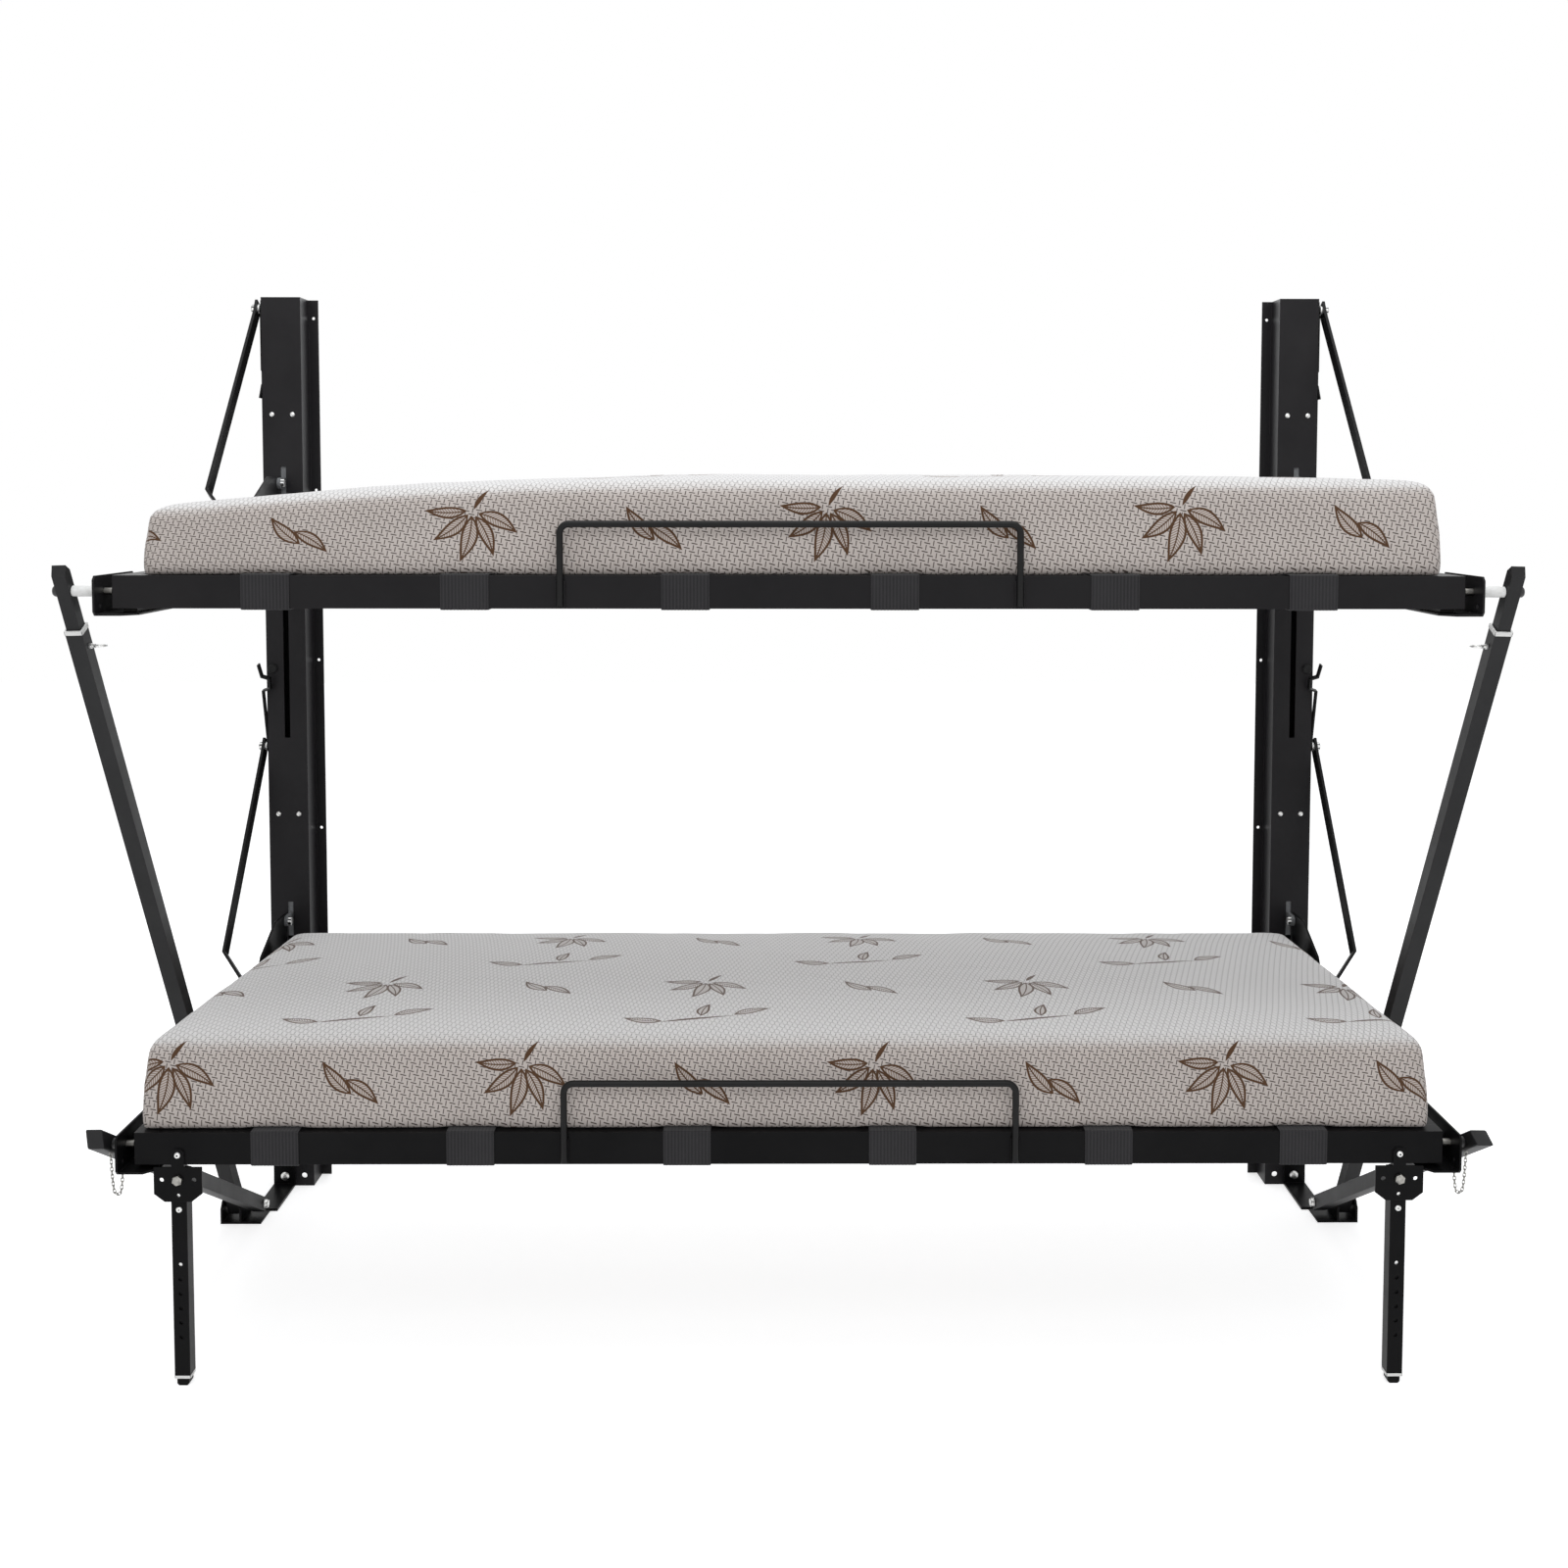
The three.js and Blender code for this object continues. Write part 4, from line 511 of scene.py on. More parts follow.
rivets, pivots, washers, stubs, knobs, caps = [], [], [], [], [], []
for side in SIDES.values():
    for height in RIVET_HEIGHTS:
        rivets += [(spot(side * (POST_X + offset), POST_FACE, height), FORWARD) for offset in RIVET_OFFSETS]
    knobs.append((spot(side * KNOB_X, POST_FACE, KNOB_HEIGHT), FORWARD))
    for height in BRACE_PIVOT_HEIGHTS:
        pivots.append((spot(side * BRACE_PIVOT_X, BRACE_PIVOT_U, height), RIGHT * side, BRACE_PIVOT_TWIST))
        stubs.append((spot(side * BRACE_BOLT_END_X, BRACE_PIVOT_U, height), RIGHT * side))
        washers += [(spot(side * x, BRACE_PIVOT_U, height), RIGHT * side) for x in WASHERS_X]
    caps.append((spot(side * TAB_BOLT_X, TAB_FACE, TAB_BOLT_HEIGHT), FORWARD))
    for x, outward, twist in FOOT_BOLTS:
        pivots.append((spot(side * x, FOOT_U, FOOT_HEIGHT), RIGHT * (side * outward), twist))
stamp("post_rivets", rivet, rivets, "wall_frame", zinc)
stamp("post_pivot_bolts", hex_head, pivots, "wall_frame", zinc)
stamp("post_pivot_washers", washer, washers, "wall_frame", zinc)
stamp("post_bolt_ends", stub, stubs, "wall_frame", zinc)
stamp("floor_tab_bolts", cap_bolt, caps, "wall_frame", zinc)
stamp("stop_knobs", knob, knobs, "wall_frame", black_rubber)
print("rivets", len(rivets), "bolts", len(pivots), "washers", len(washers))

# %% [markdown]
# Each bed turns on two rear bolts, one through each slider. Its braces end on bolts in its end
# rails, and a short stud stands inside each corner plate, where a strut's bolt or pin goes in.

# %% Hardware of the beds
REAR_PIVOT_U, REAR_PIVOT_RISE = 84, 135
REAR_BOLTS = [(954.9, 1, 0.2), (945.1, -1, 0.5)]
BRACE_FOOT_U, BRACE_FOOT_DROP, BRACE_FOOT_TWIST = 334, 15, 0.25
BRACE_FOOT_OUT, BRACE_FOOT_END_OUT = 5.8, 12
CORNER_U, CORNER_DROP, CORNER_PLATE_OUT = 790, 24, 19

for bed, top in RAIL_TOP.items():
    half = HALF_LENGTH[bed]
    heads, studs, ends = [], [], []
    for side in SIDES.values():
        for x, outward, twist in REAR_BOLTS:
            pivot = spot(side * x, REAR_PIVOT_U, top + REAR_PIVOT_RISE)
            heads.append((pivot, RIGHT * (side * outward), twist))
        foot_height = top - BRACE_FOOT_DROP
        head_x, end_x = half + BRACE_FOOT_OUT, half + BRACE_FOOT_END_OUT
        heads.append((spot(side * head_x, BRACE_FOOT_U, foot_height), RIGHT * side, BRACE_FOOT_TWIST))
        ends.append((spot(side * end_x, BRACE_FOOT_U, foot_height), RIGHT * side))
        studs.append((spot(side * (half + CORNER_PLATE_OUT), CORNER_U, top - CORNER_DROP), RIGHT * -side))
    stamp(f"{bed}_bed_bolts", hex_head, heads, f"{bed}_bed", zinc)
    stamp(f"{bed}_bed_bolt_ends", stub, ends, f"{bed}_bed", zinc)
    stamp(f"{bed}_corner_studs", stud, studs, f"{bed}_bed", chain_steel)
print("bolts on a bed:", len(heads), "studs:", len(studs))

# %% [markdown]
# The lower bed also carries the two plates that its legs turn in. Each plate shows a rivet and a
# hexagon bolt, and a rivet of the same kind shows on the leg below it.

# %% Hardware of the legs
LEG_X, LEG_BOLT_SIZE, LEG_BOLT_TWIST = 903, 0.94, 0.35
PLATE_RIVET, PLATE_BOLT, TUBE_RIVET = (815, 352), (814.8, 315), (811.7, 269)

leg_rivets = [(spot(side * LEG_X, *PLATE_RIVET), FORWARD) for side in SIDES.values()]
leg_bolts = [(spot(side * LEG_X, *PLATE_BOLT), FORWARD, LEG_BOLT_TWIST) for side in SIDES.values()]
stamp("leg_plate_rivets", pop_rivet, leg_rivets, "lower_bed", zinc)
stamp("leg_plate_bolts", hex_head, leg_bolts, "lower_bed", chain_steel, size=LEG_BOLT_SIZE)
for name, side in SIDES.items():
    on_tube = [(spot(side * LEG_X, *TUBE_RIVET), FORWARD)]
    stamp(f"{name}_leg_rivet", pop_rivet, on_tube, f"{name}_leg", zinc)
print("leg rivets:", 2 * len(leg_rivets), "leg bolts:", len(leg_bolts))

# %% [markdown]
# The struts slide one inside the other, and a thin moulded sleeve at the mouth of the outer tube
# takes up the play. So does one at the end of each leg. A sleeve is a square ring with rounded
# corners: a rounded square outline, offset inwards, lofted and closed. A strut leans, so its
# sleeve is made in the strut's own axes.

# %% Square sleeves
UPPER_STRUT = (1015, 1057, RAIL_TOP["upper"] - CORNER_DROP)
STRUT_SLEEVE, STRUT_SLEEVE_BELOW_PIN = (13.5, 10.9), (68.4, 61.6)
LEG_U, LEG_SLEEVE, LEG_SLEEVE_ENDS = 800.2, (11.9, 9.6), (11.7, 16.0)
OUTER_CORNER, INNER_CORNER, CORNER_STEPS = 2.2, 0.8, 4


def rounded_square(half, corner):
    points = []
    for quarter in range(4):
        middle = (half - corner) * math.sqrt(2)
        direction = math.pi / 4 + quarter * math.pi / 2
        centre = Vector((middle * math.cos(direction), middle * math.sin(direction)))
        for i in range(CORNER_STEPS + 1):
            angle = quarter * math.pi / 2 + i * math.pi / 2 / CORNER_STEPS
            points.append(centre + corner * Vector((math.cos(angle), math.sin(angle))))
    return points


def loft(name, rings, finish, closed=False):
    """Joins rings of points, each with the same number, into one closed skin."""
    bm = bmesh.new()
    rows = [[bm.verts.new(p) for p in ring] for ring in rings]
    for low, high in zip(rows, rows[1:] + rows[:1] if closed else rows[1:]):
        for i in range(len(low)):
            j = (i + 1) % len(low)
            bm.faces.new((low[i], low[j], high[j], high[i]))
    if not closed:
        bm.faces.new(rows[0])
        bm.faces.new(rows[-1])
    mesh = bpy.data.meshes.new(name)
    close_up(bm, mesh)
    mesh.materials.append(finish)
    return new_object(name, mesh)


def sleeve(name, matrix, halves, ends, body):
    """halves: the outer and the inner half width; ends: the lower and the upper height."""
    (outer, inner), (low, high) = halves, ends
    rings = []
    for half, height in ((outer, low), (outer, high), (inner, high), (inner, low)):
        corner = OUTER_CORNER if half == outer else INNER_CORNER
        rings.append([matrix @ (Vector((p.x, p.y, height)) * MM) for p in rounded_square(half, corner)])
    piece = loft(name, rings, white_nylon, closed=True)
    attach(piece, body)


def strut_frame(side, foot_x, corner_x, corner_z):
    """A strut's own axes, with z up it from the foot bolt and x outwards, and its length in mm."""
    foot = spot(side * foot_x, FOOT_U, FOOT_HEIGHT)
    corner = spot(side * corner_x, CORNER_U, corner_z)
    along = (corner - foot).normalized()
    across = along.cross(RIGHT * side).normalized()
    out = across.cross(along)
    axes = Matrix((out, across, along)).transposed().to_4x4()
    return Matrix.Translation(foot) @ axes, (corner - foot).length / MM


def sleeves(name, side):
    axes, length = strut_frame(side, *UPPER_STRUT)
    ends = [length - below for below in STRUT_SLEEVE_BELOW_PIN]
    sleeve(f"{name}_strut_sleeve", axes, STRUT_SLEEVE, ends, f"{name}_upper_strut")
    middle = Matrix.Translation(spot(side * LEG_X, LEG_U, 0))
    sleeve(f"{name}_leg_sleeve", middle, LEG_SLEEVE, LEG_SLEEVE_ENDS, f"{name}_leg")


print("strut length", round(strut_frame(1, *UPPER_STRUT)[1], 1), "mm from bolt to bolt")

# %% [markdown]
# Through the slots of a post one looks into folded steel, not at the wall. A channel behind the
# post's face closes it: its section is a flat U, and the same loft runs it up the post.

# %% Channels behind the posts' slots
CHANNEL_HALF, CHANNEL_BACK, CHANNEL_FRONT, CHANNEL_WALL = 33, 4, 20, 2
CHANNEL_FOOT, CHANNEL_TOP = 12, 1676


def post_channel(name, side):
    half, inner = CHANNEL_HALF, CHANNEL_HALF - CHANNEL_WALL
    back, front = CHANNEL_BACK, CHANNEL_FRONT
    section = [
        (-half, front), (-half, back), (half, back), (half, front),
        (inner, front), (inner, back + CHANNEL_WALL), (-inner, back + CHANNEL_WALL), (-inner, front),
    ]
    rings = [[spot(side * POST_X + x, u, z) for x, u in section] for z in (CHANNEL_FOOT, CHANNEL_TOP)]
    channel = loft(f"{name}_post_channel", rings, post_paint)
    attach(channel, "wall_frame")


for name, side in SIDES.items():
    post_channel(name, side)
    sleeves(name, side)
print("channel:", CHANNEL_TOP - CHANNEL_FOOT, "mm tall")

# %% [markdown]
# A rod or a wire is a round section carried along a path, which is what Geometry Nodes' Curve to
# Mesh does. Fillet Curve rounds the corners, so the path itself is only its corner points. The
# guard rods are made this way, and so are the pull rings and the links of the chains.

# %% The rod tree
ROD, given, result = new_tree(
    "rod_along_path", ("Radius", "NodeSocketFloat"), ("Bend", "NodeSocketFloat"),
    ("Bend Steps", "NodeSocketInt"), ("Sides", "NodeSocketInt"), ("Finish", "NodeSocketMaterial"),
)
path = put(ROD, "GeometryNodeMeshToCurve", Mesh=given["Geometry"])
bent = put(ROD, "GeometryNodeFilletCurve", Curve=path.outputs[0], Radius=given["Bend"])
bent.mode = "POLY"
feed(ROD, bent.inputs["Count"], given["Bend Steps"])
section = put(ROD, "GeometryNodeCurvePrimitiveCircle", Resolution=given["Sides"], Radius=given["Radius"])
swept = put(
    ROD, "GeometryNodeCurveToMesh", Curve=bent.outputs[0], Profile_Curve=section.outputs[0], Fill_Caps=True,
)
end_tree(ROD, swept.outputs[0], given["Finish"], result["Geometry"])


def rod(name, corners, radius, bend, finish, sides=16, steps=8, ring=False):
    """A round rod through corner points in metres; radius and bend are in millimetres."""
    mesh = bpy.data.meshes.new(name)
    edges = [(i, i + 1) for i in range(len(corners) - 1)]
    mesh.from_pydata(corners, edges + ([(len(corners) - 1, 0)] if ring else []), [])
    piece = run_tree(
        new_object(name, mesh), ROD, Radius=radius * MM, Bend=bend * MM, Finish=finish,
        **{"Bend Steps": steps, "Sides": sides},
    )
    bm = bmesh.new()
    bm.from_mesh(piece.data)
    close_up(bm, piece.data, 50)
    return piece


print("rod tree:", len(ROD.nodes), "nodes")

# %% [markdown]
# A guard rod is a low hoop of round bar. Its two legs go down in front of the front rail, and its
# top keeps the mattress and the bedding from sliding off.

# %% Guard rods
GUARD_HALF, GUARD_U, GUARD_DROP, GUARD_RISE = 333, 817.3, 44, 75
GUARD_RADIUS, GUARD_BEND = 5.0, 14

for bed, top in RAIL_TOP.items():
    low, high = top - GUARD_DROP, top + GUARD_RISE
    corners = ((-GUARD_HALF, low), (-GUARD_HALF, high), (GUARD_HALF, high), (GUARD_HALF, low))
    route = [spot(x, GUARD_U, z) for x, z in corners]
    guard = rod(f"{bed}_guard", route, GUARD_RADIUS, GUARD_BEND, bar_paint)
    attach(guard, f"{bed}_bed")
    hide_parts(f"{bed}_guard_rod")
print("guard rods:", len(guard.data.polygons), "faces each")

# %% [markdown]
# The upper struts meet the bed on a long black bolt. A white nylon spacer keeps the strut clear
# of the corner plate, and a black flange nut sits against the plate. Bolt and nut share one lathe
# outline, the spacer has another, and both are laid along the bed's length.

# %% Corner bolts and their spacers


def lay_along(piece, origin, facing, finish, body):
    """Lays a lathe part along a direction, with its place in its mesh."""
    rotation = UP.rotation_difference(facing).to_matrix().to_4x4()
    piece.data.transform(Matrix.Translation(origin) @ rotation)
    piece.data.materials.append(finish)
    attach(piece, body)


NUT_FACE_X, NUT_LENGTH = 1003.3, 6.2
BOLT = [(0, 0), (11.2, 0), (11.2, 2.2), (8.9, 3.0), (8.9, 6.2), (5, 6.4), (5, 44), (8.5, 44.2), (8.5, 44.6)]
HEAD = [(5, 45), (5, 64.2), (8.6, 64.2), (8.6, 66.4), (8.0, 69.0), (6.4, 71.0), (3.4, 72.2), (0, 72.4)]
SPACER = [(0, 0), (7.4, 0), (8.1, 0.7), (8.1, 36.6), (7.4, 37.3), (0, 37.3)]

for name, side in SIDES.items():
    body = f"{name}_upper_strut_extension"
    origin = spot(side * NUT_FACE_X, CORNER_U, RAIL_TOP["upper"] - CORNER_DROP)
    bolt = lathe(f"{name}_corner_bolt", BOLT + HEAD, 28)
    lay_along(bolt, origin, RIGHT * side, black_steel, body)
    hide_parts(f"{name}_upper_corner_bolt")
    spacer = lathe(f"{name}_corner_spacer", SPACER, 28)
    beyond_nut = origin + RIGHT * side * NUT_LENGTH * MM
    lay_along(spacer, beyond_nut, RIGHT * side, white_nylon, body)
print("spacer:", SPACER[-1][1], "mm long")

# %% [markdown]
# A spring pin with a wire ring locks each upper strut: pulling the ring frees the inner tube. The
# ring lies level, so from the front it shows as a short bright line beside the strut.

# %% Pull pins with their rings
TUBE_HALF, PULL_PIN_DROP = 12.5, 95
PULL_PIN = [(0, -2), (3, -2), (3, 9.5), (2.2, 10.2), (0, 10.2)]
PULL_FERRULE = [(0, 0.3), (4.6, 0.3), (4.6, 3.4), (3.8, 4.1), (0, 4.1)]
RING_RADIUS, RING_WIRE, RING_OUT, RING_POINTS = 9, 1.3, 16.7, 24

for name, side in SIDES.items():
    axes, length = strut_frame(side, *UPPER_STRUT)
    pin = lathe(f"{name}_pull_pin", PULL_PIN, 16)
    collar = lathe(f"{name}_pull_ferrule", PULL_FERRULE, 6)
    seat = axes @ Matrix.Translation(Vector((-TUBE_HALF, 0, length - PULL_PIN_DROP)) * MM)
    rotation = Matrix.Rotation(-math.pi / 2, 4, "Y")
    for piece in (pin, collar):
        piece.data.transform(seat @ rotation)
        piece.data.materials.append(zinc)
    middle = seat @ (Vector((-RING_OUT, 0, 0)) * MM)
    turns = [2 * math.pi * i / RING_POINTS for i in range(RING_POINTS)]
    hoop = [middle + RING_RADIUS * MM * (RIGHT * math.cos(a) + FORWARD * math.sin(a)) for a in turns]
    wire = rod(f"{name}_pull_ring", hoop, RING_WIRE, 0, zinc, sides=8, steps=1, ring=True)
    for piece in (pin, collar, wire):
        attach(piece, f"{name}_upper_strut_pull_pin")
    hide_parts(f"{name}_upper_strut_pull_pin")
print("ring points:", len(hoop))

# %% [markdown]
# The lower struts are plain square tube with a bevelled, closed end, locked to the bed's corner
# by a loose pin. The tube is a lofted square with soft corners, and a turned collar round the pin
# stands between the strut and the corner plate.

# %% Lower struts
LOWER_STRUT = (976, 1019, RAIL_TOP["lower"] - CORNER_DROP)
SOFT_CORNER, FOOT_BELOW_BOLT, TOP_ABOVE_PIN, TOP_SLANT = 2.4, 12.5, 36, 0.72
COLLAR_X = 999.8
COLLAR = [(5.3, 0), (7.6, 0), (8.0, 0.5), (8.0, 6.4), (5.3, 6.4), (5.3, 0)]


def lower_strut(name, side):
    axes, length = strut_frame(side, *LOWER_STRUT)
    rings = []
    square = rounded_square(TUBE_HALF, SOFT_CORNER)
    for share, at in ((0.94, -FOOT_BELOW_BOLT), (1.0, 1 - FOOT_BELOW_BOLT)):
        rings.append([axes @ (Vector((p.x * share, p.y * share, at)) * MM) for p in square])
    for share, drop in ((1.0, 1.0), (0.93, 0.0)):
        end = length + TOP_ABOVE_PIN - drop
        slanted = [(p.x * share, p.y * share, end - TOP_SLANT * p.y) for p in square]
        rings.append([axes @ (Vector(p) * MM) for p in slanted])
    tube = loft(f"{name}_lower_strut", rings, tube_paint)
    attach(tube, f"{name}_lower_strut")
    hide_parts(f"{name}_lower_strut_tube")
    collar = lathe(f"{name}_lower_strut_collar", COLLAR, 24)
    seat = spot(side * COLLAR_X, CORNER_U, RAIL_TOP["lower"] - CORNER_DROP)
    lay_along(collar, seat, RIGHT * side, black_steel, f"{name}_lower_strut")


print("lower strut:", round(strut_frame(1, *LOWER_STRUT)[1], 1), "mm from bolt to pin")

# %% [markdown]
# A light chain keeps each pin from being lost. It is one link, stamped along a hanging loop, with
# every second link turned a quarter, as real chain lies. A loop that hangs from two near points
# falls almost straight down and turns in a small round, which a fourth power draws well. Each
# side gets its strut and then its chain.

# %% Chains of the pins
LINK_PITCH, LINK_WIRE, LINK_HALF_WIDTH, LINK_END, LINK_STRAIGHT = 5.6, 0.68, 2.1, 2.6, 1.3
CHAIN_X, CHAIN_TOP, CHAIN_SPAN, CHAIN_DROP, FINE_STEPS = 1011, 353, 19.2, 70, 400


def hanging(side):
    """Points of the hanging loop, evenly spaced, from the collar's outer foot to its inner one."""
    fine = []
    for i in range(FINE_STEPS + 1):
        t = 2 * i / FINE_STEPS - 1
        x, z = CHAIN_X - CHAIN_SPAN / 2 * (t + 1), CHAIN_TOP - CHAIN_DROP * (1 - t**4)
        fine.append(spot(side * x, CORNER_U, z))
    gaps = [0.0]
    for a, b in zip(fine, fine[1:]):
        gaps.append(gaps[-1] + (b - a).length)
    count = int(gaps[-1] / (LINK_PITCH * MM))
    points = []
    for k in range(count + 1):
        target = gaps[-1] * k / count
        i = next(n for n, g in enumerate(gaps) if g >= target - 1e-9)
        points.append(fine[i])
    return points


oval = []
for i in range(8):
    angle = math.pi / 8 + i * math.pi / 4
    straight = math.copysign(LINK_STRAIGHT, math.cos(angle))
    oval.append(Vector((0, LINK_HALF_WIDTH * math.sin(angle), LINK_END * math.cos(angle) + straight)) * MM)
link = rod("chain_link", oval, LINK_WIRE, 0, chain_steel, sides=6, steps=1, ring=True)
for name, side in SIDES.items():
    lower_strut(name, side)
    drape = hanging(side)
    links = []
    for i, (a, b) in enumerate(zip(drape, drape[1:])):
        links.append(((a + b) / 2, (b - a).normalized(), math.pi / 2 * (i % 2)))
    stamp(f"{name}_pin_chain", link, links, f"{name}_lower_strut", chain_steel)
print("links in each chain:", len(links))

# %% [markdown]
# Each bed is laced with six straps of ribbed webbing. A strap runs over the top from the rear rail
# to the front rail, goes round each rail, and is sewn to itself under the mattress. It is a flat
# ribbon with a ribbed face, so its section is drawn once and carried round the route, with soft
# turns at the rails' edges. Its own UV map holds metres across and along for the weave.

# %% Webbing material
RIB_PITCH, PICK_PITCH, PICK_LAG = 5.0, 0.0016, 2.4


def flat_place(tree, uv_map):
    """The two readings of a UV map, as separate outputs."""
    reading = put(tree, "ShaderNodeUVMap", {"uv_map": uv_map}).outputs[0]
    return put(tree, "ShaderNodeSeparateXYZ", Vector=reading).outputs[:2]


def webbing_material():
    material, tree, shader = start("ribbed_webbing", Specular_IOR_Level=0.25, Sheen_Weight=0.15)
    u, v = flat_place(tree, "weave")
    across = times(tree, u, 2 * math.pi / (RIB_PITCH * MM))
    rib = ramp(tree, calc(tree, "COSINE", across), -1.0, 1.0)
    along = times(tree, v, 2 * math.pi / PICK_PITCH)
    slant = plus(tree, along, times(tree, rib, PICK_LAG))
    pick = ramp(tree, calc(tree, "SINE", slant), -1.0, 1.0)
    fuzz, cloud = speckle(tree, 1500.0, 3.0), speckle(tree, 16.0, 4.0)
    # Dark grooves and lighter crests follow the ribs of the section: painted shade in the grooves.
    face = blend(tree, rib, tone(20, 19, 21), tone(44, 43, 45))
    yarn = blend(tree, times(tree, pick, 0.3), face, tone(62, 61, 63))
    dusty = blend(tree, ramp(tree, cloud, 0.4, 0.8, 0.0, 0.3), yarn, tone(56, 55, 57))
    feed(tree, shader.inputs["Base Color"], dusty)
    feed(tree, shader.inputs["Roughness"], ramp(tree, fuzz, 0.3, 0.7, 0.68, 0.86))
    height = plus(tree, times(tree, pick, 0.5), times(tree, fuzz, 0.4))
    emboss(tree, shader, height, 0.5, 0.0003)
    return material


webbing = webbing_material()
print("rib pitch:", RIB_PITCH, "mm")

# %% [markdown]
# The route of a strap is a list of corners in the plane across the bed. It starts with the tail
# under the strap, goes down the inside of the front rail, forward under it and up its front face,
# and runs back over the top to the rear rail, where the same corners follow in mirror image.

# %% Route and section of a strap
TAIL_U, INSIDE_U, FRONT_U, MIRROR_U = 742, 780.6, 813.2, 910
TAIL_DROP, UNDER_DROP, STRAP_RISE, STRAP_BEND = 0.8, 49.2, 1.4, 2.2
STRAP_WIDTH, RIBS, BACK_STEPS, EDGE_SOFTNESS, BEND_STEPS = 70.0, 14, 14, 1.2, 5


def rounded_route(corners, radius):
    route = [corners[0]]
    for before, corner, after in zip(corners, corners[1:], corners[2:]):
        a, b = (before - corner).normalized(), (after - corner).normalized()
        cut = min(radius, (before - corner).length / 2, (after - corner).length / 2)
        for i in range(BEND_STEPS + 1):
            t = i / BEND_STEPS
            route.append(corner + a * cut * (1 - t) ** 2 + b * cut * t**2)
    return route + [corners[-1]]


def strap_route(top):
    """Corners from the wall and up, in millimetres, along the strap's middle."""
    front = [
        (TAIL_U, -TAIL_DROP), (INSIDE_U, -TAIL_DROP), (INSIDE_U, -UNDER_DROP),
        (FRONT_U, -UNDER_DROP), (FRONT_U, STRAP_RISE),
    ]
    corners = [Vector((u, top + z)) for u, z in front]
    corners += [Vector((MIRROR_U - p.x, p.y)) for p in reversed(corners)]
    return rounded_route(corners, STRAP_BEND)


def strap_section():
    """The face has its ribs, the back is flat: across and out, in millimetres."""
    count = RIBS * 4
    face = []
    for i in range(count + 1):
        x = STRAP_WIDTH * (i / count - 0.5)
        edge = min(1.0, (STRAP_WIDTH / 2 - abs(x)) / EDGE_SOFTNESS)
        face.append((x, 0.35 + 0.5 * edge + 0.12 * math.cos(2 * math.pi * x / RIB_PITCH)))
    back = []
    for i in range(BACK_STEPS + 1):
        back.append((STRAP_WIDTH * (0.5 - i / BACK_STEPS), -0.85 if 0 < i < BACK_STEPS else -0.3))
    return face + back


def strap(name, middle, top):
    route, section = strap_route(top), strap_section()
    bm = bmesh.new()
    weave = bm.loops.layers.uv.new("weave")
    rows, lengths, run = [], [], 0.0
    for i, point in enumerate(route):
        before, after = route[max(i - 1, 0)], route[min(i + 1, len(route) - 1)]
        tangent = (after - before).normalized()
        out = Vector((-tangent.y, tangent.x))
        run += (point - route[i - 1]).length if i else 0.0
        lengths.append(run * MM)
        ring = []
        for x, rise in section:
            at = point - out * rise
            ring.append(bm.verts.new(spot(middle + x, at.x, at.y)))
        rows.append(ring)
    for k, (low, high) in enumerate(zip(rows, rows[1:])):
        for i in range(len(section)):
            j = (i + 1) % len(section)
            face = bm.faces.new((low[i], low[j], high[j], high[i]))
            reading = ((i, k), (j, k), (j, k + 1), (i, k + 1))
            for loop, (s, r) in zip(face.loops, reading):
                loop[weave].uv = (section[s][0] * MM, lengths[r])
    for row in (rows[0], rows[-1]):
        bm.faces.new(row)
    mesh = bpy.data.meshes.new(name)
    close_up(bm, mesh, 60)
    mesh.materials.append(webbing)
    return new_object(name, mesh)


print("route points:", len(strap_route(0)), "section points:", len(strap_section()))

# %% Lace both beds
STRAPS_X = [share * HALF_LENGTH["upper"] for share in (-0.775, -0.481, -0.155, 0.155, 0.481, 0.775)]
for bed, top in RAIL_TOP.items():
    for number, x in enumerate(STRAPS_X, 1):
        piece = strap(f"{bed}_webbing_{number}", x, top)
        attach(piece, f"{bed}_bed")
        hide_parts(f"{bed}_strap_{number}")
print("faces in one strap:", len(piece.data.polygons))

# %% [markdown]
# A box of stitches with a cross in it holds each strap's tail to the strap. One stitch is a short
# capsule of thread, and the stamping tree lays it along the lines of the box, on the underside,
# where it shows when the bed is folded up.

# %% Sewn boxes on the straps
thread = plated("dark_thread", tone(78, 72, 80), tone(60, 56, 62), 0.6, metallic=0.0, gloss=0.3)
stitch = lathe("stitch", [(0, -1.5), (0.35, -1.2), (0.42, 0), (0.35, 1.2), (0, 1.5)], 6)
STITCH_SPACING, STITCH_DROP, BOX_HALF, BOX_FROM, BOX_TO = 4.2, 1.75, 28, 747, 775


def sewn_line(a, b):
    count = max(2, round((b - a).length / (STITCH_SPACING * MM)))
    return [(a.lerp(b, (i + 0.5) / count), (b - a).normalized()) for i in range(count)]


for bed, top in RAIL_TOP.items():
    seam = []
    for x in STRAPS_X:
        for inner, outer in ((BOX_FROM, BOX_TO), (MIRROR_U - BOX_FROM, MIRROR_U - BOX_TO)):
            outline = ((-BOX_HALF, inner), (BOX_HALF, inner), (BOX_HALF, outer), (-BOX_HALF, outer))
            corner = [spot(x + dx, u, top - STITCH_DROP) for dx, u in outline]
            for a, b in ((0, 1), (1, 2), (2, 3), (3, 0), (0, 2), (1, 3)):
                seam += sewn_line(corner[a], corner[b])
    stamp(f"{bed}_strap_stitches", stitch, seam, f"{bed}_bed", thread)
print("stitches on a bed:", len(seam))

# %% [markdown]
# The mattress cover is a knitted ticking. Its knit shows as short dark dashes, some level and
# some upright, that step from row to row like basket work, and sprigs of leaves are knitted in
# brown. Both are drawn by maths from the cover's own UV map, which holds metres along the cover.
# First comes one leaf, as a node group that can be used many times: two bows make its outline, a
# line its middle vein, and slanted lines its hatching.

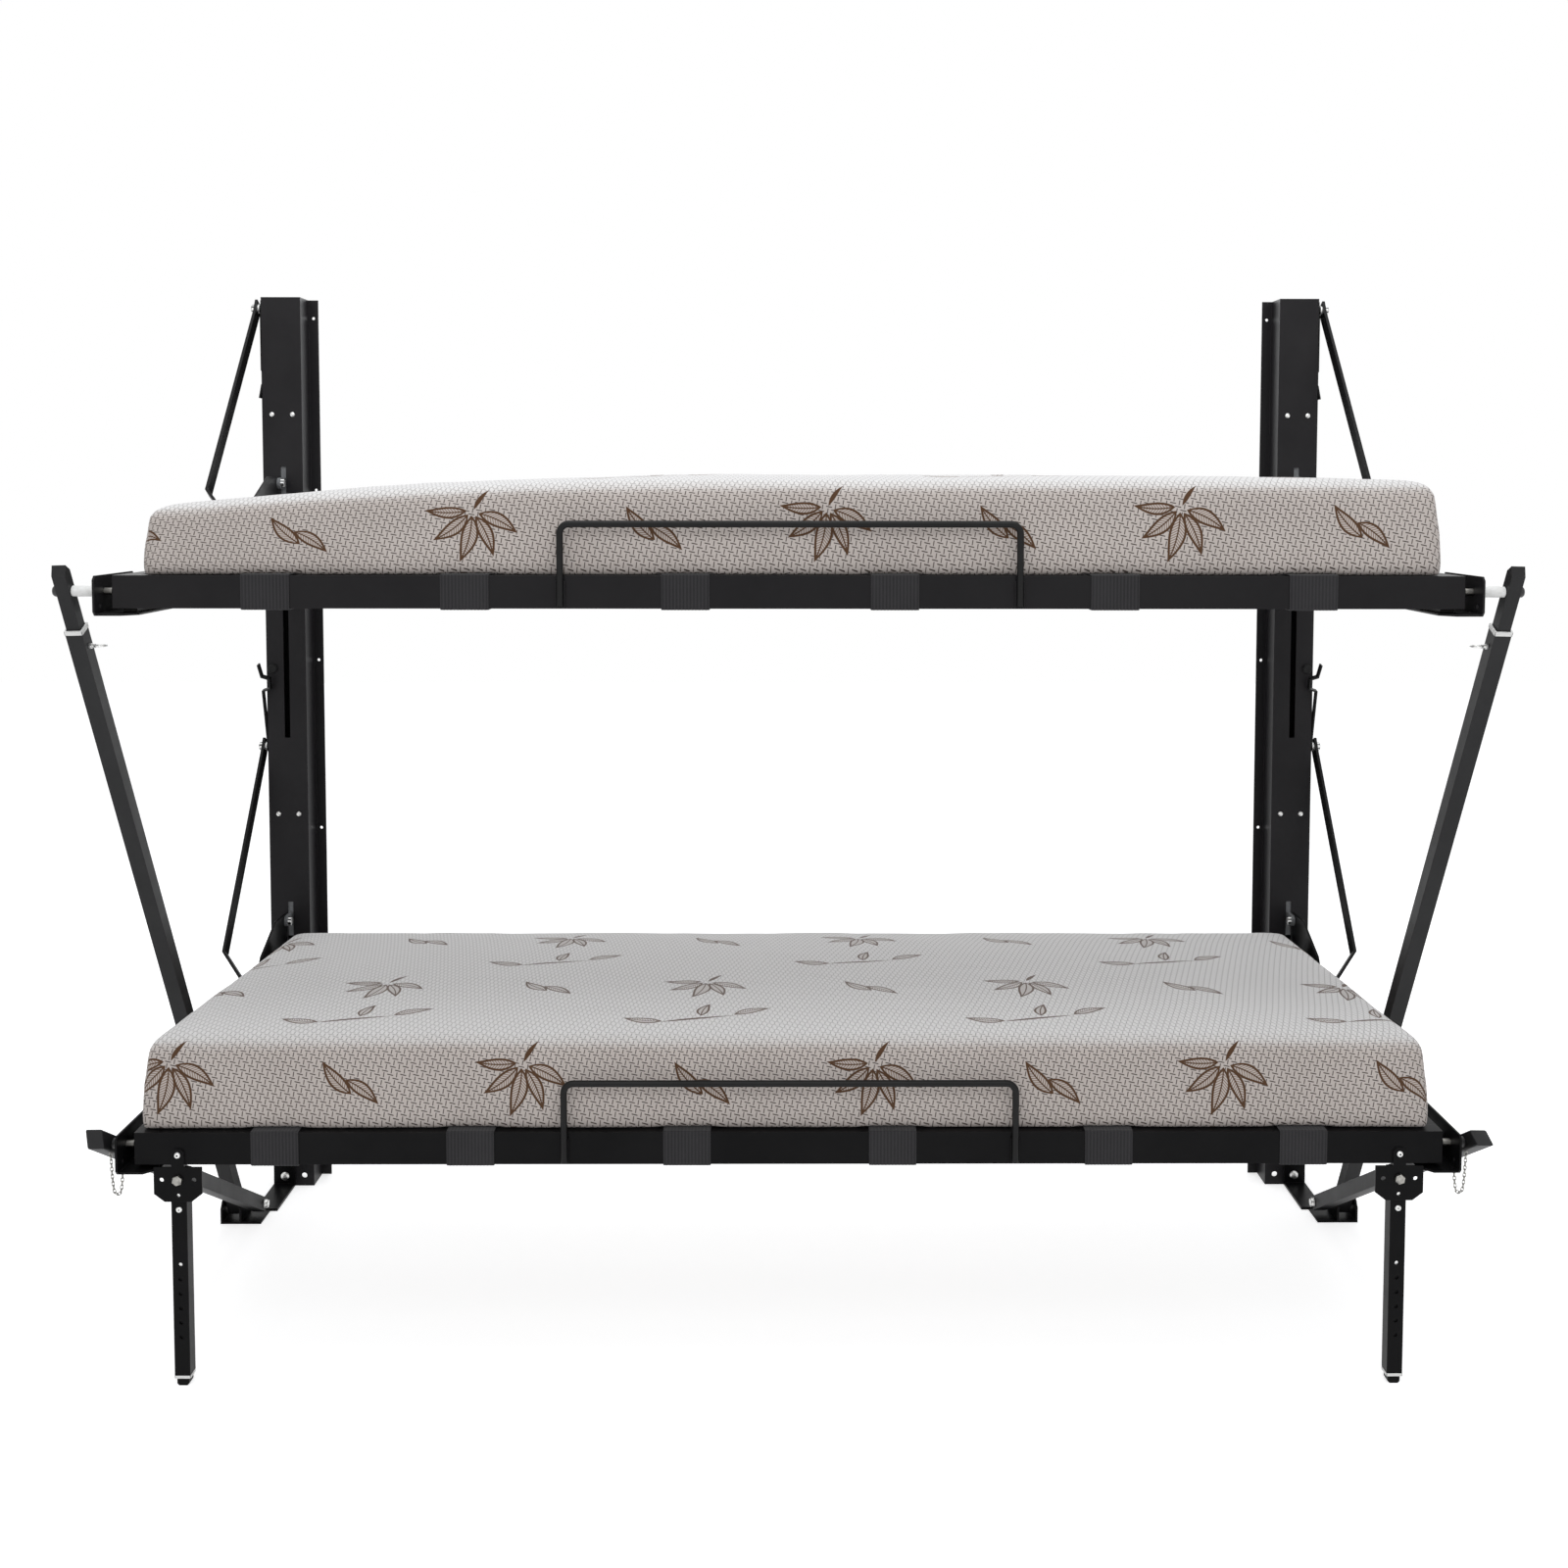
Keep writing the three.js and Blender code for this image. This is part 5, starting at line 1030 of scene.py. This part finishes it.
# %% One leaf of the cover
LEAF_TAPER, LEAF_BEND, LEAF_SOFT = 0.35, 0.18, 0.0003
RIM, VEIN, HATCH_PITCH, HATCH_SLANT = (0.0038, 0.0031), (0.0013, 0.0007), 0.0042, 0.8


def leaf_group():
    """One leaf in a node group: its outline, its whole inside and its hatching, as masks."""
    tree = bpy.data.node_groups.new("leaf", "ShaderNodeTree")
    for label in ("X", "Y", "Middle X", "Middle Y", "Turn", "Length", "Width"):
        tree.interface.new_socket(name=label, in_out="INPUT", socket_type="NodeSocketFloat")
    for label in ("Outline", "Inside", "Hatch"):
        tree.interface.new_socket(name=label, in_out="OUTPUT", socket_type="NodeSocketFloat")
    take, give = tree.nodes.new("NodeGroupInput").outputs, tree.nodes.new("NodeGroupOutput").inputs
    dx = minus(tree, take["X"], take["Middle X"])
    dy = minus(tree, take["Y"], take["Middle Y"])
    cos, sin = calc(tree, "COSINE", take["Turn"]), calc(tree, "SINE", take["Turn"])
    along = plus(tree, times(tree, dx, cos), times(tree, dy, sin))
    side = minus(tree, times(tree, dy, cos), times(tree, dx, sin))
    t = calc(tree, "DIVIDE", along, times(tree, take["Length"], 0.5))
    bow = minus(tree, 1.0, times(tree, t, t))
    skew = minus(tree, 1.0, times(tree, t, LEAF_TAPER))
    half_width = times(tree, take["Width"], 0.5)
    half = times(tree, times(tree, bow, skew), half_width)
    bend = times(tree, bow, times(tree, take["Width"], LEAF_BEND))
    curved = minus(tree, side, bend)
    from_vein = calc(tree, "ABSOLUTE", curved)
    depth = minus(tree, half, from_vein)
    on_leaf = calc(tree, "GREATER_THAN", bow, 0.0)
    inside = times(tree, ramp(tree, depth, -LEAF_SOFT, LEAF_SOFT), on_leaf)
    rim = times(tree, inside, ramp(tree, depth, *RIM))
    vein = times(tree, inside, ramp(tree, from_vein, *VEIN))
    feed(tree, give["Outline"], calc(tree, "MAXIMUM", rim, vein))
    slope = minus(tree, along, times(tree, from_vein, HATCH_SLANT))
    lines = calc(tree, "SINE", times(tree, slope, 2 * math.pi / HATCH_PITCH))
    hatch = ramp(tree, lines, -0.3, 0.5)
    feed(tree, give["Inside"], inside)
    feed(tree, give["Hatch"], times(tree, inside, hatch))
    return tree


LEAF = leaf_group()
print("leaf group:", len(LEAF.nodes), "nodes")

# %% [markdown]
# The sprigs repeat in tiles, each row of tiles shifted by half. A list gives every leaf of a tile:
# its middle in metres, its turn in degrees, and its length and width in millimetres. A leaf that
# is narrower than twice its outline is all outline, and serves as a stem.

# %% Layout of the sprigs
TILE = (0.52, 0.30)
LEAVES = [
    (0.0850, 0.0894, 178, 62, 19), (0.0919, 0.0621, -142, 66, 22), (0.1139, 0.0434, -104, 76, 25),
    (0.1415, 0.0472, -68, 70, 21), (0.1614, 0.0670, -30, 66, 23), (0.1370, 0.1088, 60, 44, 7),
    (0.3700, 0.0650, 130, 66, 22), (0.4070, 0.0430, -38, 62, 21), (0.3800, 0.2050, 14, 118, 6),
    (0.2960, 0.2010, 166, 62, 21), (0.4620, 0.2380, 30, 64, 21), (0.3900, 0.2450, 78, 56, 19),
]


def sprig_masks(tree, u, v):
    """Masks of the outlines, of the whole leaves and of the hatching, at a place on the cover."""
    row = calc(tree, "FLOOR", calc(tree, "DIVIDE", v, TILE[1]))
    shifted = plus(tree, u, times(tree, row, TILE[0] / 2))
    x = calc(tree, "WRAP", shifted, 0.0, TILE[0])
    y = minus(tree, v, times(tree, row, TILE[1]))
    masks = [0.0, 0.0, 0.0]
    for middle_x, middle_y, turn, length, width in LEAVES:
        leaf = put(
            tree, "ShaderNodeGroup", {"node_tree": LEAF}, X=x, Y=y, Middle_X=middle_x,
            Middle_Y=middle_y, Turn=math.radians(turn), Length=length * MM, Width=width * MM,
        )
        masks = [calc(tree, "MAXIMUM", mask, own) for mask, own in zip(masks, leaf.outputs)]
    return masks


print("leaves in a tile:", len(LEAVES))

# %% [markdown]
# The knit's dashes come from the row that a point is in and how far along its repeat it is. An
# upright dash is taller than its row, so a point also asks the rows above and below. The two
# numbers of a half length or a thickness are where a dash's edge begins and ends.

# %% Dashes of the knit
ROW, REPEAT, STEP = 0.0061, 0.0190, 0.40
LEVEL_MIDDLE, LEVEL_TILT, LEVEL_HALF, LEVEL_THICK = 0.28, 0.7, (0.25, 0.21), (0.17, 0.1)
UPRIGHT_MIDDLE, UPRIGHT_TILT, UPRIGHT_HALF, UPRIGHT_THICK = 0.78, 0.05, (0.66, 0.58), (0.052, 0.034)


def knit_masks(tree, u, v):
    """Masks of the level dashes and of the upright ones."""
    rows = calc(tree, "DIVIDE", v, ROW)
    row = calc(tree, "FLOOR", rows)
    up = minus(tree, minus(tree, rows, row), 0.5)
    repeats = calc(tree, "DIVIDE", u, REPEAT)

    def along(offset):
        shift = times(tree, plus(tree, row, offset), STEP)
        return calc(tree, "FRACT", plus(tree, repeats, shift))

    here = minus(tree, along(0), LEVEL_MIDDLE)
    tilted = plus(tree, up, times(tree, here, LEVEL_TILT))
    long = ramp(tree, calc(tree, "ABSOLUTE", here), *LEVEL_HALF)
    level = times(tree, long, ramp(tree, calc(tree, "ABSOLUTE", tilted), *LEVEL_THICK))
    upright = 0.0
    for offset in (-1, 0, 1):
        rise = minus(tree, up, float(offset))
        leaning = plus(tree, UPRIGHT_MIDDLE, times(tree, rise, UPRIGHT_TILT))
        near = minus(tree, along(offset), leaning)
        narrow = ramp(tree, calc(tree, "ABSOLUTE", near), *UPRIGHT_THICK)
        dash = times(tree, narrow, ramp(tree, calc(tree, "ABSOLUTE", rise), *UPRIGHT_HALF))
        upright = calc(tree, "MAXIMUM", upright, dash)
    return level, upright


print("a dash repeats every", REPEAT / MM, "mm, a row every", ROW / MM, "mm")

# %% [markdown]
# The finish puts these together: pale cloth whose shade drifts a little, dark dashes around the
# leaves, and the leaves in brown. Light from above is painted on the top: the cloth there is
# painted whiter and its dashes fainter. The dashes are also sunk, as stitches are, so that light
# from the side catches the knit.

# %% Finish of the cover
# How strongly the dashes show on the top, where painted light from above washes them out.
DASH_STRENGTH_IN_TOP_LIGHT, UPRIGHT_FAINT, HATCH_FAINT = 0.55, 0.9, 0.75


def cover_material():
    material, tree, shader = start("knitted_cover", Specular_IOR_Level=0.2, Sheen_Weight=0.25)
    u, v = flat_place(tree, "cover")
    outline, inside, hatch = sprig_masks(tree, u, v)
    around = minus(tree, 1.0, inside)
    level, upright = (times(tree, mask, around) for mask in knit_masks(tree, u, v))
    yarn, cloud = speckle(tree, 1300.0, 3.0), speckle(tree, 9.0, 4.0)
    facing = put(tree, "ShaderNodeTexCoord").outputs["Normal"]
    painted_top_light = ramp(tree, put(tree, "ShaderNodeSeparateXYZ", Vector=facing).outputs[2], 0.25, 0.95)
    loose = blend(tree, ramp(tree, cloud, 0.3, 0.7), tone(204, 195, 189), tone(197, 188, 182))
    # The top is painted whiter: painted light from above.
    cloth = blend(tree, painted_top_light, loose, tone(233, 232, 231))
    cloth = blend(tree, ramp(tree, yarn, 0.35, 0.75, 0.0, 0.25), cloth, tone(186, 178, 173))
    # The dashes are painted fainter on the top: painted light from above.
    seen = ramp(tree, painted_top_light, 0.0, 1.0, 1.0, DASH_STRENGTH_IN_TOP_LIGHT)
    faint = times(tree, seen, UPRIGHT_FAINT)
    cloth = blend(tree, times(tree, level, seen), cloth, tone(74, 64, 58))
    cloth = blend(tree, times(tree, upright, faint), cloth, tone(82, 73, 67))
    cloth = blend(tree, times(tree, hatch, HATCH_FAINT), cloth, tone(118, 90, 68))
    cloth = blend(tree, outline, cloth, tone(84, 58, 38))
    feed(tree, shader.inputs["Base Color"], cloth)
    feed(tree, shader.inputs["Roughness"], ramp(tree, yarn, 0.3, 0.7, 0.78, 0.92))
    sunk = times(tree, calc(tree, "MAXIMUM", level, upright), -1.0)
    height = plus(tree, sunk, times(tree, yarn, 0.5))
    emboss(tree, shader, height, 0.3, 0.0008)
    return material


cover = cover_material()
print("cover material:", len(cover.node_tree.nodes), "nodes")

# %% [markdown]
# The mattress is a slab of foam in that cover: crowned on top, with ends that lean in a little,
# sides that pull in between the corners, and edges that the cloth rounds off. It widens and rises
# a little towards the front. The start shape is a stack of rounded rectangles, listed from the
# middle of the base to the middle of the top by how far each is drawn in and how high it lies.

# %% Start shape of a mattress
HALF_X, HALF_U, MIDDLE_U = 950.0, 355.5, 456.0
EDGE, CROWN, LEAN, SKEW, FLARE, FRONT_RISE = 124.0, 12.0, 12.0, -5.0, 17.0, 0.13
LAYERS = [
    (60, 0), (12, 0), (2, 1), (0, 9), (0, 35), (1, 74), (2, 101), (5, 113), (12, 121),
    (25, EDGE), (60, EDGE), (130, EDGE), (230, EDGE), (320, EDGE),
]
SHRINK, TOP_FROM, CROWN_FROM, BASE = 4.0, 100, 90, 2.5
CORNER, LEAST_CORNER, DRAWN_IN, POINTS_ROUND = 17.0, 6.0, 3.0, 48


def outline_points(wide, deep, corner):
    """Points round a rectangle with rounded corners, close together on its long sides too."""
    ring = []
    for sx, sy, begin in ((1, -1, -90), (1, 1, 0), (-1, 1, 90), (-1, -1, 180)):
        for i in range(7):
            a = math.radians(begin + 15 * i)
            x = sx * (wide - corner) + corner * math.cos(a)
            y = sy * (deep - corner) + corner * math.sin(a)
            ring.append(Vector((x, y)))
    even = []
    for a, b in zip(ring, ring[1:] + ring[:1]):
        pieces = max(1, round((b - a).length / (2 * (wide + deep) / POINTS_ROUND)))
        even += [a.lerp(b, i / pieces) for i in range(pieces)]
    return even


def layer(inset, height, top):
    """One rectangle of the stack, with bowed sides, as points in metres."""
    wide = HALF_X - SHRINK - inset - LEAN * height / EDGE
    deep = HALF_U - SHRINK - inset
    out = []
    for p in outline_points(wide, deep, max(LEAST_CORNER, CORNER - inset)):
        draw = DRAWN_IN * (1 - min(1.0, abs(p.x) / wide) ** 2) if abs(p.y) > deep * 0.98 else 0.0
        y = p.y - math.copysign(draw, p.y)
        crown = CROWN * max(0.0, 1 - abs(p.x / HALF_X) ** 6) * max(0.0, 1 - abs(p.y / HALF_U) ** 4)
        lift = crown * min(1.0, max(0.0, (height - CROWN_FROM) / (EDGE - CROWN_FROM)))
        forward = (HALF_U - y) / (2 * HALF_U)
        x = p.x * (1 + FLARE * forward / HALF_X) + SKEW * forward
        shrunk = SHRINK if height > TOP_FROM else 0
        z = top + max(height, BASE) * (1 + FRONT_RISE * forward) - shrunk + lift
        out.append(spot(x, MIDDLE_U - y, z))
    return out


def slab(top):
    rings = [layer(inset, height, top) for inset, height in LAYERS]
    bm = bmesh.new()
    rows = [[bm.verts.new(p) for p in ring] for ring in rings]
    for row in rows:
        for a, b in zip(row, row[1:] + row[:1]):
            bm.edges.new((a, b))
    for low, high in zip(rows, rows[1:]):
        both = [bm.edges.get((a, b)) for row in (low, high) for a, b in zip(row, row[1:] + row[:1])]
        bmesh.ops.bridge_loops(bm, edges=both)
    bm.faces.new(rows[0])
    bm.faces.new(rows[-1])
    mesh = bpy.data.meshes.new("lower_mattress_cover")
    close_up(bm, mesh)
    return new_object("lower_mattress_cover", mesh)


mattress = slab(RAIL_TOP["lower"])
print("start shape:", len(mattress.data.vertices), "points")

# %% [markdown]
# A cloth simulation wants even squares, so the slab is remeshed first. Pressure from inside then
# swells the cover for twenty steps, with gravity off, which gives it the tension of real ticking.
# The slab started a little small for that, and no point may move further than the cap.

# %% Remesh and simulate the cover
VOXEL, CAP, PRESSURE, SWELL_STEPS = 0.0095, 0.004, 4.0, 20


def remesh(piece, size):
    even = piece.modifiers.new("even", "REMESH")
    even.mode, even.voxel_size = "VOXEL", size
    apply_modifiers(piece)


def inflate(piece):
    rest = [v.co.copy() for v in piece.data.vertices]
    cloth = piece.modifiers.new("cloth", "CLOTH")
    cloth.settings.use_pressure = True
    cloth.settings.uniform_pressure_force = PRESSURE
    cloth.settings.quality = 5
    cloth.settings.effector_weights.gravity = 0.0
    scene = bpy.context.scene
    for step in range(1, SWELL_STEPS + 1):
        scene.frame_set(step)
    swollen = piece.evaluated_get(bpy.context.evaluated_depsgraph_get()).data
    moved = [v.co.copy() for v in swollen.vertices]
    piece.modifiers.clear()
    scene.frame_set(1)
    furthest = 0.0
    for vertex, before, after in zip(piece.data.vertices, rest, moved):
        step = after - before
        furthest = max(furthest, step.length)
        vertex.co = before + step * min(1.0, CAP / max(step.length, 1e-9))
    return furthest


remesh(mattress, VOXEL)
print("cloth moved at most", round(inflate(mattress) / MM, 1), "mm before the cap")
print("even mesh:", len(mattress.data.vertices), "points")

# %% [markdown]
# A stretched cover is never quite smooth: it keeps soft waves a hand wide, smaller ones between
# them, and small puckers along the lower edge. Smooth noise moves the points a millimetre or two.
# The base lies on the straps and sags on to the rails between them, and the front face stays
# behind the guard rod.

# %% Waves in the cover
ON_STRAP, ON_RAIL, STRAP_REACH, SAG_RUN = 2.5, 0.5, 48, 10
FOREMOST, HEM_HEIGHT, HEM_FOOT, PUCKER_HEIGHT = 811.9, 0.016, 0.006, 0.03
BROAD, FINE, PUCKER = (2.0, 6.0), (1.0, 19.0), (1.1, 34.0)


def floor_height(x, top):
    """How low the cover may hang, in metres: on a strap, or down to the rail between straps."""
    beside = min(abs(x / MM - strap_x) for strap_x in STRAPS_X)
    near = min(1.0, max(0.0, (STRAP_REACH - beside) / SAG_RUN))
    return (top + ON_RAIL + (ON_STRAP - ON_RAIL) * near * near * (3 - 2 * near)) * MM


def ruffle(piece, top):
    """Moves the points along their normals, and lets the hem down to what it lies on."""
    normals = [n.vector.copy() for n in piece.data.vertex_normals]
    low, foremost = top * MM, spot(0, FOREMOST, 0).y
    for vertex, normal in zip(piece.data.vertices, normals):
        p = vertex.co
        waves = BROAD[0] * noise.noise(p * BROAD[1]) + FINE[0] * noise.noise(p * FINE[1] + Vector((3, 1, 4)))
        near_hem = max(0.0, 1 - (p.z - low) / PUCKER_HEIGHT)
        pucker = near_hem * PUCKER[0] * noise.noise(p * PUCKER[1] + Vector((9, 2, 6)))
        vertex.co = p + normal * (waves + pucker) * MM
        vertex.co.y = max(vertex.co.y, foremost)
        lowest, hem_top = floor_height(p.x, top), low + HEM_HEIGHT
        if p.z < hem_top:
            t = max(0.0, (p.z - low - HEM_FOOT) / (hem_top - low - HEM_FOOT))
            vertex.co.z = lowest + (hem_top - lowest) * t
    piece.data.update()


ruffle(mattress, RAIL_TOP["lower"])
smooth = mattress.modifiers.new("smooth", "SUBSURF")
smooth.levels = smooth.render_levels = 1
apply_modifiers(mattress)
for face in mattress.data.polygons:
    face.use_smooth = True
print("cover:", len(mattress.data.polygons), "faces")

# %% [markdown]
# The cover is unfolded for its pattern as a tailor would: along the bed, and up the front, over
# the top and down the back, in metres. The ends fold out from the top's short edges.

# %% UV map of the cover
PATTERN_START = 0.1


def map_cover(piece, top_of_edge):
    """Unfolds the cover: along x, and up the front, over the top and down the back."""
    mesh = piece.data
    layer = mesh.uv_layers.new(name="cover")
    front, back = spot(0, MIDDLE_U + HALF_U, 0).y, spot(0, MIDDLE_U - HALF_U, 0).y
    middle, depth = (front + back) / 2, back - front
    edge = top_of_edge * MM
    for face in mesh.polygons:
        n = face.normal
        for index in face.loop_indices:
            p = mesh.vertices[mesh.loops[index].vertex_index].co
            drop = p.z - edge
            if abs(n.x) > max(abs(n.y), abs(n.z)):
                uv = (p.x - math.copysign(drop, p.x), p.y - front + PATTERN_START)
            elif n.z < -0.7:
                uv = (p.x, p.y - front)
            else:
                turn = max(-1.0, min(1.0, (middle - p.y) / (depth * 0.3)))
                uv = (p.x, p.y - front + PATTERN_START + drop * turn)
            layer.data[index].uv = uv


map_cover(mattress, RAIL_TOP["lower"] + EDGE)
mattress.data.materials.clear()
mattress.data.materials.append(cover)
print("UV layers:", [one.name for one in mattress.data.uv_layers])

# %% [markdown]
# Both beds carry the same mattress. The upper one is the lower one mirrored end for end, so that
# its waves don't repeat, and lifted to the upper rails. Mirroring turns faces inside out, so the
# copy's faces are turned back. Its left end is pressed thinner, as on the bed photographed.

# %% The second mattress
UPPER_LENGTH, PRESSED_FROM, PRESSED_TO, PRESSED, PATTERN_SHIFT = 0.99, -0.05, -0.95, 0.70, 0.07
twin = new_object("upper_mattress_cover", mattress.data.copy())
lift = (RAIL_TOP["upper"] - RAIL_TOP["lower"]) * MM
twin.data.transform(Matrix.Translation((0, 0, lift)) @ Matrix.Scale(-UPPER_LENGTH, 4, RIGHT))
twin.data.flip_normals()
seat = RAIL_TOP["upper"] * MM
for vertex in twin.data.vertices:
    t = min(1.0, max(0.0, (vertex.co.x - PRESSED_FROM) / (PRESSED_TO - PRESSED_FROM)))
    vertex.co.z = seat + (vertex.co.z - seat) * (1 - (1 - PRESSED) * t * t)
for loop in twin.data.uv_layers["cover"].data:
    loop.uv.x = -loop.uv.x + PATTERN_SHIFT
for piece, bed in ((mattress, "lower"), (twin, "upper")):
    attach(piece, f"{bed}_bed")
    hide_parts(f"{bed}_mattress")
print("mattresses:", mattress.name, twin.name)

# %% [markdown]
# The parts that were only patterns for the stamping tree leave the scene.

# %% Tidy up and finish
for pattern in (rivet, pop_rivet, hex_head, washer, stub, cap_bolt, stud, knob, link, stitch):
    bpy.data.objects.remove(pattern)
